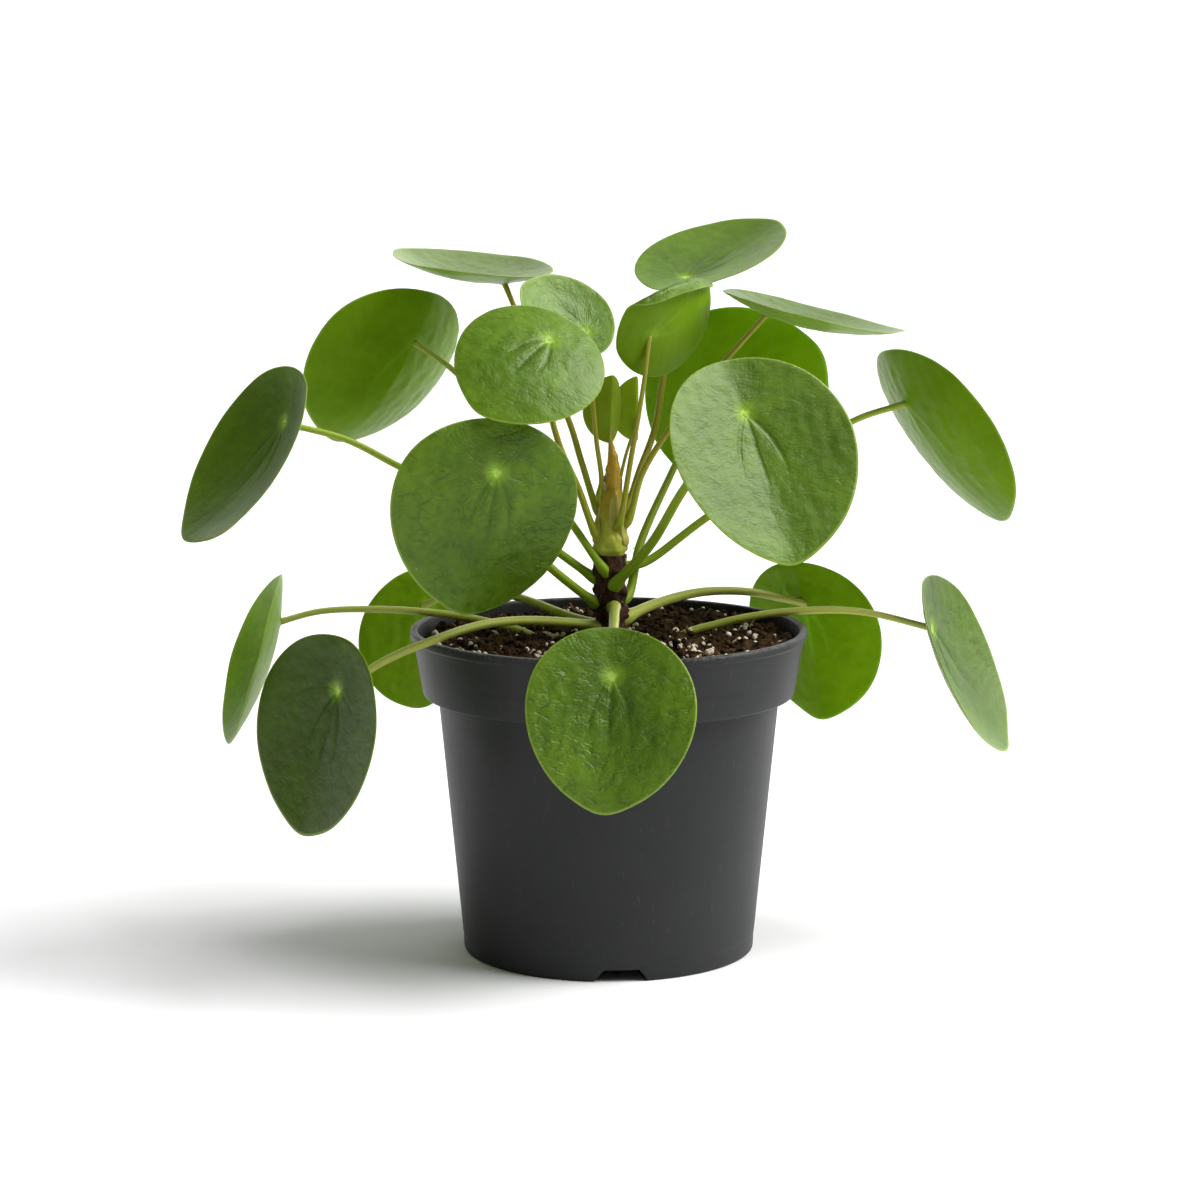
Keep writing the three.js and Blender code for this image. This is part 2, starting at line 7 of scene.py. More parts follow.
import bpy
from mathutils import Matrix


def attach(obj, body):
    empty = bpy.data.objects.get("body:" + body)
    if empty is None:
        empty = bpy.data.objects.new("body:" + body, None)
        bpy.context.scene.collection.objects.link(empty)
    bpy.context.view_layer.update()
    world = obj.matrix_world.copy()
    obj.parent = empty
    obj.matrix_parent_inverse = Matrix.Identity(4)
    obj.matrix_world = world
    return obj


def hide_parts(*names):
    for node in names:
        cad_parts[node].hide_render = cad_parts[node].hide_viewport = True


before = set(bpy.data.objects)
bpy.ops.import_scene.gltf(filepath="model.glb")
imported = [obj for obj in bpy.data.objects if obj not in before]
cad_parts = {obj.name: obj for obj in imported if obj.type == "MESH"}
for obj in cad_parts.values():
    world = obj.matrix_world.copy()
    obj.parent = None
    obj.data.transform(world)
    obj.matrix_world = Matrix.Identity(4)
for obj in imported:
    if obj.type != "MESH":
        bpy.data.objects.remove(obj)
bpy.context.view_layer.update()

import logging
import math
from collections.abc import Sequence
from dataclasses import dataclass, field
from enum import Enum

import bpy
import numpy as np

log = logging.getLogger("pilea")

Array = np.ndarray
Socket = bpy.types.NodeSocket
Value = Socket | float
Colour = tuple[float, float, float]
Place = tuple[float, float, float]

MM = 0.001
ROOT = "root"
NOISE_ROUGHNESS = 0.55


def smoothstep(low: float, high: float, value: Array) -> Array:
    """A smooth step from 0 at low to 1 at high.

    Args:
        low: where the step starts.
        high: where it ends.
        value: where to read it.

    Returns:
        3s^2 - 2s^3 of the share s of the way, held between 0 and 1.
    """
    share = np.clip((value - low) / (high - low), 0, 1)
    return share * share * (3 - 2 * share)


def wave_noise(points: Array, size: float, seed: int, waves: int = 24) -> Array:
    """Smooth noise with a standard deviation of about one.

    Args:
        points: places, with x, y and z along the last axis.
        size: the usual distance from crest to crest, in the same unit.
        seed: chooses the waves.
        waves: how many are added.

    Returns:
        The sum of cosine waves whose directions, lengths and phases are drawn at random.
    """
    draw = np.random.default_rng(seed)
    headings = draw.normal(size=(waves, 3))
    headings /= np.linalg.norm(headings, axis=1, keepdims=True)
    numbers = headings * (2 * np.pi / size) * draw.uniform(0.6, 1.5, (waves, 1))
    phases = draw.uniform(0, 2 * np.pi, waves)
    return np.cos(points @ numbers.T + phases).sum(-1) / math.sqrt(waves / 2)


def unit(vectors: Array) -> Array:
    """The vectors along the last axis, each scaled to length one."""
    return vectors / np.maximum(np.linalg.norm(vectors, axis=-1, keepdims=True), 1e-12)


def ring_angles(count: int) -> Array:
    """Evenly spaced angles once round, from -pi."""
    return np.linspace(-np.pi, np.pi, count, endpoint=False)


def closed_skin(
    name: str,
    rows: Array,
    finishes: Sequence[bpy.types.Material],
    band_slots: Array | None = None,
    facts: dict[str, Array] | None = None,
) -> bpy.types.Object:
    """A closed mesh over rings of points, fanned shut at its first and last ring.

    Ring i is rows[i]. It meets its own start, and is joined to ring i + 1 by a band of quads. The first
    and last rings each shrink to their mean point. Faces point out where the rings run counter-clockwise
    seen from the last one.

    Args:
        name: the piece's name.
        rows: points in mm, as rings by points by xyz.
        finishes: the materials, in slot order.
        band_slots: the slot of each band between two rings, all 0 if left out.
        facts: values for the shading, each as rings by points, or by points by three for a vector.

    Returns:
        The new object, smooth-shaded, standing at the origin.
    """
    rings, columns = rows.shape[:2]
    ids = np.arange((rings - 2) * columns).reshape(rings - 2, columns) + 1
    last = int(ids.max()) + 1

    def flattened(values: Array) -> Array:
        """Each ring's values in vertex order, with one mean value for either pole."""
        middle = values[1:-1].reshape(-1, *values.shape[2:])
        return np.concatenate([values[:1].mean(1), middle, values[-1:].mean(1)])

    after = np.roll(ids, -1, axis=1)
    quads = np.stack([ids[:-1], after[:-1], after[1:], ids[1:]], -1).reshape(-1, 4)
    foot_fan = np.stack([np.zeros(columns, int), after[0], ids[0]], -1)
    head_fan = np.stack([np.full(columns, last), ids[-1], after[-1]], -1)
    mesh = bpy.data.meshes.new(name)
    faces = foot_fan.tolist() + quads.tolist() + head_fan.tolist()
    mesh.from_pydata((flattened(rows) * MM).tolist(), [], faces)
    for finish in finishes:
        mesh.materials.append(finish)
    if band_slots is not None:
        mesh.polygons.foreach_set("material_index", np.repeat(band_slots, columns).astype(np.int32))
    add_facts(mesh, {key: flattened(value) for key, value in (facts or {}).items()})
    return put_in_scene(name, mesh)


def add_facts(mesh: bpy.types.Mesh, facts: dict[str, Array]) -> None:
    """Stores values for the shading on a mesh's vertices.

    Args:
        mesh: the mesh.
        facts: each value's name, and one number or one vector of three for each vertex.
    """
    for key, values in facts.items():
        vector = values.ndim == 2
        layer = mesh.attributes.new(key, "FLOAT_VECTOR" if vector else "FLOAT", "POINT")
        layer.data.foreach_set("vector" if vector else "value", values.astype(np.float32).ravel())


def put_in_scene(name: str, mesh: bpy.types.Mesh) -> bpy.types.Object:
    """Shades a mesh smooth and puts it in the scene as an object at the origin.

    Args:
        name: the object's name.
        mesh: its mesh, in metres.

    Returns:
        The new object.
    """
    mesh.polygons.foreach_set("use_smooth", np.ones(len(mesh.polygons), bool))
    mesh.update()
    piece = bpy.data.objects.new(name, mesh)
    bpy.context.scene.collection.objects.link(piece)
    return piece


def report(piece: bpy.types.Object, slot: str, *nodes: str) -> None:
    """Hangs a piece on the plant's one body, hides the solids that it stands for, and logs it.

    Args:
        piece: the finished piece.
        slot: the name of the record's material slot, which is only logged.
        nodes: the solids that it stands for.
    """
    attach(piece, ROOT)
    if nodes:
        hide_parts(*nodes)
    log.info("%s: %d faces, slot %s", piece.name, len(piece.data.polygons), slot)


class Nodes:
    """Short words for the nodes of one tree."""

    def __init__(self, tree: bpy.types.NodeTree) -> None:
        """Takes the tree that the nodes go into."""
        self.tree = tree

    def add(self, kind: str) -> bpy.types.Node:
        """A new shader node, by the last part of its type's name."""
        return self.tree.nodes.new(f"ShaderNode{kind}")

    def feed(self, socket: Socket, value: Value | Sequence[float]) -> None:
        """Links a socket to another, or sets its own value.

        Args:
            socket: the input that is fed.
            value: another node's output, or a value; a colour may leave out its alpha.
        """
        if isinstance(value, bpy.types.NodeSocket):
            self.tree.links.new(value, socket)
        elif isinstance(value, tuple) and socket.type == "RGBA":
            socket.default_value = (*value, 1.0)
        else:
            socket.default_value = value

    def math(self, operation: str, *values: Value, clamp: bool = False) -> Socket:
        """One Math node.

        Args:
            operation: Blender's name of the operation.
            values: its inputs, in order.
            clamp: holds the result between 0 and 1.

        Returns:
            The result.
        """
        node = self.add("Math")
        node.operation = operation
        node.use_clamp = clamp
        for socket, value in zip(node.inputs, values):
            self.feed(socket, value)
        return node.outputs[0]

    def plus(self, one: Value, other: Value) -> Socket:
        """The sum of two values."""
        return self.math("ADD", one, other)

    def minus(self, one: Value, other: Value, clamp: bool = False) -> Socket:
        """One value less another."""
        return self.math("SUBTRACT", one, other, clamp=clamp)

    def times(self, first: Value, *others: Value) -> Socket:
        """The product of two or more values.

        Args:
            first: the first of them.
            others: the rest.

        Returns:
            The product.
        """
        for other in others:
            first = self.math("MULTIPLY", first, other)
        return first

    def over(self, one: Value, other: Value, clamp: bool = False) -> Socket:
        """One value divided by another."""
        return self.math("DIVIDE", one, other, clamp=clamp)

    def parts(self, vector: Socket) -> list[Socket]:
        """The x, y and z of a vector.

        Args:
            vector: the vector.

        Returns:
            Its three parts.
        """
        node = self.add("SeparateXYZ")
        self.feed(node.inputs[0], vector)
        return list(node.outputs)

    def eased(self, value: Socket, low: float, high: float, start: float, end: float) -> Socket:
        """A smooth step between two results.

        Args:
            value: what is read.
            low: where the step starts.
            high: where it ends, above low.
            start: the result up to low.
            end: the result from high on.

        Returns:
            The result.
        """
        node = self.add("MapRange")
        node.interpolation_type = "SMOOTHSTEP"
        self.feed(node.inputs["Value"], value)
        for name, number in (("From Min", low), ("From Max", high), ("To Min", start), ("To Max", end)):
            node.inputs[name].default_value = number
        return node.outputs["Result"]

    def step(self, value: Socket, off: float, on: float) -> Socket:
        """A smooth step from 0 to 1.

        Args:
            value: what is read.
            off: where the result is 0.
            on: where it is 1; it may be under off.

        Returns:
            The share, from 0 to 1.
        """
        return self.eased(value, off, on, 0.0, 1.0) if off < on else self.eased(value, on, off, 1.0, 0.0)


class Graph(Nodes):
    """The node tree of one material, with one Principled shader on its output."""

    def __init__(self, name: str) -> None:
        """Starts the material.

        Args:
            name: the material's name.
        """
        self.material = bpy.data.materials.new(name)
        self.material.use_nodes = True
        super().__init__(self.material.node_tree)
        self.tree.nodes.clear()
        self.shader = self.add("BsdfPrincipled")
        self.feed(self.add("OutputMaterial").inputs["Surface"], self.shader.outputs["BSDF"])

    def set(self, **values: Value | Sequence[float]) -> None:
        """Feeds the shader's sockets, named with _ for a space."""
        for key, value in values.items():
            self.feed(self.shader.inputs[key.replace("_", " ")], value)

    def place(self) -> Socket:
        """The point's place on the piece, in metres."""
        return self.add("TexCoord").outputs["Object"]

    def fact(self, name: str, output: str = "Fac") -> Socket:
        """A value stored on the mesh.

        Args:
            name: the attribute's name.
            output: "Fac" for a number, "Vector" for a vector.

        Returns:
            The value.
        """
        node = self.add("Attribute")
        node.attribute_name = name
        return node.outputs[output]

    def vector(self, operation: str, *values: Socket | Sequence[float], scale: Value = 1.0) -> Socket:
        """One Vector Math node.

        Args:
            operation: Blender's name of the operation.
            values: its vector inputs, in order.
            scale: the factor, where the operation is "SCALE".

        Returns:
            The result, a number for "LENGTH" and otherwise a vector.
        """
        node = self.add("VectorMath")
        node.operation = operation
        for socket, value in zip(node.inputs, values):
            self.feed(socket, value)
        if operation == "SCALE":
            self.feed(node.inputs["Scale"], scale)
        return node.outputs["Value" if operation == "LENGTH" else "Vector"]

    def squeezed(self, where: Socket, x: float, y: float, z: float) -> Socket:
        """Coordinates with each part multiplied, so that a pattern on them is stretched by its inverse."""
        return self.vector("MULTIPLY", where, (x, y, z))

    def noise(self, where: Socket, size: float, detail: float = 2, distortion: float = 0) -> Socket:
        """Noise from 0 to 1.

        Args:
            where: the coordinates.
            size: the distance from one patch to the next, in the unit of the coordinates.
            detail: how many finer layers it has.
            distortion: how far it is swirled.

        Returns:
            The value.
        """
        node = self.add("TexNoise")
        self.feed(node.inputs["Vector"], where)
        node.inputs["Scale"].default_value = 1 / size
        node.inputs["Detail"].default_value = detail
        node.inputs["Roughness"].default_value = NOISE_ROUGHNESS
        node.inputs["Distortion"].default_value = distortion
        return node.outputs[0]

    def cells(self, where: Socket, size: float, smooth: bool = True) -> Socket:
        """The distance to the nearest of many scattered points.

        Args:
            where: the coordinates.
            size: the usual distance between the points.
            smooth: rounds the creases between cells.

        Returns:
            The distance, in cell sizes.
        """
        node = self.add("TexVoronoi")
        node.feature = "SMOOTH_F1" if smooth else "F1"
        self.feed(node.inputs["Vector"], where)
        node.inputs["Scale"].default_value = 1 / size
        return node.outputs["Distance"]

    def ramp(self, value: Socket, *stops: tuple[float, Colour]) -> Socket:
        """A colour read from a ramp.

        Args:
            value: from 0 to 1.
            stops: places on the ramp, and their colours, from low to high.

        Returns:
            The colour.
        """
        node = self.add("ValToRGB")
        self.feed(node.inputs["Fac"], value)
        elements = node.color_ramp.elements
        while len(elements) < len(stops):
            elements.new(0.5)
        for element, (place, colour) in zip(elements, stops):
            element.position = place
            element.color = (*colour, 1.0)
        return node.outputs["Color"]

    def mix(self, share: Value, base: Socket | Colour, other: Socket | Colour) -> Socket:
        """A blend of two colours.

        Args:
            share: how much of the other colour there is.
            base: the first colour.
            other: the other colour.

        Returns:
            The colour.
        """
        node = self.add("Mix")
        node.data_type = "RGBA"
        self.feed(node.inputs["Factor"], share)
        colours = [socket for socket in node.inputs if socket.type == "RGBA"]
        self.feed(colours[0], base)
        self.feed(colours[1], other)
        return next(socket for socket in node.outputs if socket.type == "RGBA")

    def bump(self, height: Socket, depth: float, strength: float = 1.0) -> Socket:
        """A bumped normal.

        Args:
            height: the relief, from 0 to 1.
            depth: the relief's real depth in mm.
            strength: how strongly it shows.

        Returns:
            The normal.
        """
        node = self.add("Bump")
        node.inputs["Distance"].default_value = depth * MM
        node.inputs["Strength"].default_value = strength
        self.feed(node.inputs["Height"], height)
        return node.outputs["Normal"]


class BladeSide(Enum):
    """The two sides of a leaf blade."""

    UPPER = "upper"
    UNDER = "under"


@dataclass(frozen=True)
class Vein:
    """A main vein, drawn on both halves of a blade.

    It leaves the seat at an angle from the tip's direction and swings in towards the tip as it runs out.

    Attributes:
        direction: its angle from the tip's direction at the seat, in degrees.
        swing: how far it turns towards the tip over its reach, in degrees.
        reach: how far it runs, as a share of half the blade's length.
        width: how wide its line is, in mm.
        depth: how deep it is, as a share of the midrib's depth.
    """

    direction: float
    swing: float
    reach: float
    width: float
    depth: float

    groove_spread = 1.6
    line_core = 0.15
    fade_start = 0.5

    def radians(self) -> tuple[float, float]:
        """Its starting angle and its swing, in radians."""
        return math.radians(self.direction), math.radians(self.swing)


VEINS = (
    Vein(direction=0, swing=0, reach=0.90, width=1.20, depth=1.0),
    Vein(direction=42, swing=24, reach=0.80, width=1.10, depth=0.80),
    Vein(direction=95, swing=30, reach=0.70, width=0.40, depth=0.10),
)


def vein_height(along: Array, across: Array, half: float) -> Array:
    """How strongly the main veins show at points of a blade.

    Each vein is a bell curve of the distance to its line, r times the angle between the point and the
    vein at that radius, and it fades over the last half of its reach.

    Args:
        along: distance from the seat towards the tip, in mm.
        across: distance from the midrib, in mm.
        half: half the blade's length, in mm.

    Returns:
        From 0 off the veins to about 1 on them.
    """
    radius = np.hypot(along, across)
    angle = np.arctan2(np.abs(across), along)
    total = np.zeros_like(radius)
    for vein in VEINS:
        start, swing = vein.radians()
        reach = vein.reach * half
        off = radius * (angle - (start - swing * np.clip(radius / reach, 0, 1)))
        fade = 1 - smoothstep(vein.fade_start * reach, reach, radius)
        bell = np.exp(-((off / (vein.groove_spread * vein.width)) ** 2))
        total = np.maximum(total, vein.depth * bell * fade)
    return total


@dataclass(frozen=True)
class BladePoint:
    """What a blade's material reads at a point, each as a socket.

    Attributes:
        place: the place on the piece, in metres.
        flat: the place on the flat blade, from the seat, in mm.
        radius: the distance from the seat, in mm.
        share: 0 at the seat and 1 on the rim.
        veins: from 0 off the veins to 1 on them.
        tone: how many times as light as the usual blade this one is, partly its own lightness and partly
            painted light.
    """

    place: Socket
    flat: Socket
    radius: Socket
    share: Socket
    veins: Socket
    tone: Socket


@dataclass(frozen=True)
class BladeFinish:
    """A pilea blade: glossy and quilted above, matte and lighter below, with a pale dot over the seat."""

    side: BladeSide
    young: bool = False
    dark: Colour = (0.034, 0.076, 0.002)
    middle: Colour = (0.065, 0.130, 0.003)
    light: Colour = (0.116, 0.210, 0.006)
    under_dark: Colour = (0.101, 0.198, 0.001)
    under_light: Colour = (0.170, 0.310, 0.002)
    rim: Colour = (0.290, 0.400, 0.060)
    dot: Colour = (0.400, 0.600, 0.090)
    halo: Colour = (0.190, 0.340, 0.020)
    vein: Colour = (0.200, 0.320, 0.030)
    young_tint: Colour = (0.130, 0.150, 0.010)
    young_share: float = 0.65
    painted_sheen_colour: Colour = (0.500, 0.550, 0.380)
    gloss: Colour = (0.94, 1.00, 0.75)
    under_gloss: Colour = (0.90, 1.00, 0.30)
    flesh: Colour = (0.5, 1.0, 0.06)
    rim_from: float = 0.980
    rim_full: float = 0.993
    rim_share: float = 0.48

    def build(self) -> bpy.types.Material:
        """The material of this side."""
        graph = Graph(f"blade_{self.side.value}{'_young' if self.young else ''}")
        shape = graph.fact("leaf_place", "Vector")
        along, across, share = graph.parts(shape)
        radius = graph.math("SQRT", graph.plus(graph.times(along, along), graph.times(across, across)))
        point = BladePoint(
            place=graph.place(),
            flat=graph.squeezed(shape, 1.0, 1.0, 0.0),
            radius=radius,
            share=share,
            veins=self.vein_lines(graph, along, across, radius),
            tone=graph.fact("tone"),
        )
        if self.side is BladeSide.UPPER:
            self.dress_upper(graph, point)
        else:
            self.dress_under(graph, point)
        return graph.material

    def vein_lines(self, graph: Graph, along: Socket, across: Socket, radius: Socket) -> Socket:
        """The thin vein lines, on the same lines as in vein_height but with a sharper edge.

        Args:
            graph: the material's graph.
            along: distance from the seat towards the tip, in mm.
            across: distance from the midrib, in mm.
            radius: distance from the seat, in mm.

        Returns:
            From 0 off the veins to 1 on them.
        """
        angle = graph.math("ARCTAN2", graph.math("ABSOLUTE", across), along)
        run = graph.over(radius, graph.fact("half_length"))
        total: Value = 0.0
        for vein in VEINS:
            start, swing = vein.radians()
            bend = graph.times(graph.over(run, vein.reach, clamp=True), swing)
            turned = graph.math("ABSOLUTE", graph.minus(graph.plus(angle, bend), start))
            line = graph.step(graph.times(radius, turned), vein.width, vein.line_core * vein.width)
            fade = graph.step(run, vein.reach, vein.fade_start * vein.reach)
            total = graph.math("MAXIMUM", total, graph.times(line, fade, vein.depth))
        return total

    def creases(self, graph: Graph, point: BladePoint) -> Socket:
        """The leathery creases: thin lines where noise crosses its middle, some run out from the seat.

        One noise is stretched outward from the seat, the other lies evenly; a third, broad one lets the
        creases come and go.

        Args:
            graph: the material's graph.
            point: what the material reads.

        Returns:
            From 0 off the creases to 1 in them.
        """
        around = graph.vector("SCALE", graph.vector("NORMALIZE", point.flat), scale=7.0)
        outward = graph.add("CombineXYZ")
        graph.feed(outward.inputs["Z"], graph.over(point.radius, 5.0))
        fan_place = graph.vector("ADD", around, outward.outputs[0])
        even_place = graph.squeezed(point.flat, 1.0, 0.6, 0.0)
        fan = graph.noise(fan_place, size=1.8, detail=1, distortion=0.5)
        even = graph.noise(even_place, size=3.1, detail=2)
        lines: Value = 0.0
        for noise, sharpness in ((fan, 13.0), (even, 15.0)):
            off = graph.times(graph.math("ABSOLUTE", graph.minus(noise, 0.5)), sharpness)
            lines = graph.plus(lines, graph.minus(1.0, off, clamp=True))
        patchy = graph.step(graph.noise(point.flat, size=8.0, detail=1), 0.34, 0.58)
        return graph.times(lines, 0.6, patchy)

    def quilting(self, graph: Graph, point: BladePoint, creases: Socket) -> Socket:
        """The relief: small cushions and grain, cut by the creases.

        Args:
            graph: the material's graph.
            point: what the material reads.
            creases: 1 in a crease.

        Returns:
            The relief, from 0 to 1.
        """
        where = graph.squeezed(point.flat, 1.0, 0.7, 0.0)
        cushions = graph.times(graph.noise(where, size=2.6), 0.9)
        grain = graph.times(graph.noise(where, size=0.8), 0.22)
        return graph.minus(graph.plus(cushions, grain), graph.times(creases, 0.30))

    def tinted(self, graph: Graph, colour: Socket, tone: Socket) -> Socket:
        """The colour, browned if the blade is young, and scaled by the blade's tone, which paints in
        backlight and shade as well as the blade's own lightness.

        Args:
            graph: the material's graph.
            colour: the colour so far.
            tone: how many times as light as the usual blade this one is; partly painted light, backlight
                through a thin blade or shade.

        Returns:
            The new colour.
        """
        if self.young:
            colour = graph.mix(self.young_share, colour, self.young_tint)
        return graph.vector("SCALE", colour, scale=tone)

    def rimmed(self, graph: Graph, colour: Socket, share: Socket) -> Socket:
        """The colour, with the pale rim round the blade."""
        rim = graph.times(graph.step(share, self.rim_from, self.rim_full), self.rim_share)
        return graph.mix(rim, colour, self.rim)

    def dress_upper(self, graph: Graph, point: BladePoint) -> None:
        """Wires the upper side: deep green, mottled, with vein grooves and creases darkened as painted shade,
        specks, dot and pale rim.

        Args:
            graph: the material's graph.
            point: what the material reads.
        """
        flat, radius = point.flat, point.radius
        broad = graph.noise(point.place, size=20 * MM)
        mottle = graph.noise(point.place, size=2.4 * MM, detail=3)
        value = graph.plus(graph.times(broad, 0.55), graph.times(mottle, 0.30))
        colour = graph.ramp(value, (0.22, self.dark), (0.45, self.middle), (0.72, self.light))
        yellowed = graph.times(graph.math("POWER", point.share, 5.0), 0.40)
        colour = graph.mix(yellowed, colour, self.light)
        quilted = graph.fact("quilted")
        creases = graph.times(self.creases(graph, point), quilted)
        # Painted shade: the crease and vein grooves are darkened towards dark green, as shade in them, on top
        # of their bump.
        lines = graph.math("MAXIMUM", graph.times(creases, 0.7), point.veins)
        colour = graph.mix(graph.times(lines, 0.75), colour, self.dark)
        speckle = graph.step(graph.cells(flat, size=3.4, smooth=False), 0.085, 0.045)
        rare = graph.times(graph.step(graph.noise(flat, size=2.3, detail=1), 0.54, 0.60), 0.55)
        colour = graph.mix(graph.times(speckle, rare), colour, self.rim)
        # Painted light in part: the tone scales the colour for backlight through the blade and for shade,
        # besides the blade's own lightness.
        colour = self.tinted(graph, colour, point.tone)
        # Painted reflection: a pale grey-green sheen is mixed into the colour by the leaf's sheen amount,
        # standing in for the bright wall seen at a grazing angle.
        painted_sheen_share = graph.times(graph.fact("painted_sheen"), graph.plus(0.7, graph.times(mottle, 0.6)))
        colour = graph.mix(painted_sheen_share, colour, self.painted_sheen_colour)
        wobble = graph.plus(radius, graph.times(graph.noise(flat, size=1.6, detail=1), 1.2))
        colour = graph.mix(graph.times(graph.step(wobble, 5.4, 1.6), 0.8), colour, self.halo)
        colour = graph.mix(graph.step(wobble, 2.5, 1.0), colour, self.dot)
        colour = self.rimmed(graph, colour, point.share)
        relief = graph.times(self.quilting(graph, point, creases), quilted)
        relief = graph.minus(relief, graph.times(point.veins, 0.45))
        graph.set(
            Base_Color=colour,
            Roughness=graph.plus(0.36, graph.times(mottle, 0.14)),
            Normal=graph.bump(relief, depth=0.50, strength=0.75),
            Specular_IOR_Level=0.34,
            Specular_Tint=self.gloss,
            Subsurface_Weight=0.25,
            Subsurface_Radius=self.flesh,
            Subsurface_Scale=0.7 * MM,
        )

    def dress_under(self, graph: Graph, point: BladePoint) -> None:
        """Wires the underside: saturated yellow-green, matte, with raised pale veins.

        Args:
            graph: the material's graph.
            point: what the material reads.
        """
        broad = graph.noise(point.place, size=22 * MM)
        mottle = graph.noise(point.place, size=1.8 * MM, detail=3)
        value = graph.plus(graph.times(broad, 0.6), graph.times(mottle, 0.18))
        colour = graph.ramp(value, (0.22, self.under_dark), (0.68, self.under_light))
        colour = graph.mix(graph.times(point.veins, 0.35), colour, self.vein)
        net = graph.step(graph.cells(point.flat, size=2.6), 0.42, 0.62)
        colour = graph.mix(graph.times(net, 0.10), colour, self.vein)
        # Painted light in part: the tone brightens backlit undersides and darkens shaded ones, besides the
        # blade's own lightness.
        colour = self.tinted(graph, colour, point.tone)
        colour = graph.mix(graph.times(graph.step(point.radius, 3.6, 1.2), 0.6), colour, self.halo)
        colour = self.rimmed(graph, colour, point.share)
        quilting = self.quilting(graph, point, self.creases(graph, point))
        relief = graph.plus(graph.times(point.veins, 0.4), graph.times(net, 0.12))
        relief = graph.plus(relief, graph.times(quilting, 0.5))
        graph.set(
            Base_Color=colour,
            Roughness=0.42,
            Normal=graph.bump(relief, depth=0.30, strength=0.38),
            Specular_IOR_Level=0.18,
            Specular_Tint=self.under_gloss,
            Sheen_Weight=0.14,
            Sheen_Roughness=0.25,
            Subsurface_Weight=0.4,
            Subsurface_Radius=self.flesh,
            Subsurface_Scale=0.9 * MM,
        )


class StalkTone(Enum):
    """How a stalk is coloured, from its foot to its blade."""

    PALE = "pale"
    GREEN = "green"
    OLIVE = "olive"

    def colours(self) -> tuple[Colour, Colour, Colour]:
        """The stalk's colours at its foot, halfway and at its blade."""
        return {
            StalkTone.PALE: ((0.420, 0.480, 0.080), (0.450, 0.490, 0.090), (0.460, 0.480, 0.120)),
            StalkTone.GREEN: ((0.240, 0.370, 0.015), (0.240, 0.350, 0.018), (0.310, 0.390, 0.050)),
            StalkTone.OLIVE: ((0.310, 0.350, 0.025), (0.300, 0.280, 0.025), (0.360, 0.330, 0.045)),
        }[self]


@dataclass(frozen=True)
class StalkFinish:
    """A fleshy stalk: smooth, faintly ribbed along its length, shading in colour from foot to blade."""

    tone: StalkTone
    gloss: Colour = (1.0, 1.0, 0.45)
    flesh: Colour = (0.5, 1.0, 0.2)
    stripe_shade: float = 0.55
    fleck_light: float = 1.5

    def build(self) -> bpy.types.Material:
        """The material of a stalk of this tone."""
        foot, middle, head = self.tone.colours()
        graph = Graph(f"stalk_{self.tone.value}")
        place = graph.place()
        patches = graph.noise(place, size=6 * MM)
        drift = graph.plus(graph.fact("run"), graph.times(graph.minus(patches, 0.5), 0.25))
        colour = graph.ramp(drift, (0.02, foot), (0.35, middle), (0.95, head))
        stripes = graph.math("ABSOLUTE", graph.math("SINE", graph.times(graph.fact("around"), 3.0)))
        stripe = graph.times(graph.step(stripes, 0.5, 1.0), 0.22)
        colour = graph.mix(stripe, colour, tuple(self.stripe_shade * part for part in middle))
        flecks = graph.noise(place, size=0.7 * MM)
        fleck = graph.times(graph.step(flecks, 0.58, 0.72), 0.20)
        colour = graph.mix(fleck, colour, tuple(self.fleck_light * part for part in head))
        relief = graph.plus(graph.times(stripes, 0.6), graph.times(flecks, 0.4))
        graph.set(
            Base_Color=colour,
            Roughness=0.42,
            Normal=graph.bump(relief, depth=0.08, strength=0.6),
            Specular_IOR_Level=0.35,
            Specular_Tint=self.gloss,
            Subsurface_Weight=0.25,
            Subsurface_Radius=self.flesh,
            Subsurface_Scale=0.8 * MM,
        )
        return graph.material


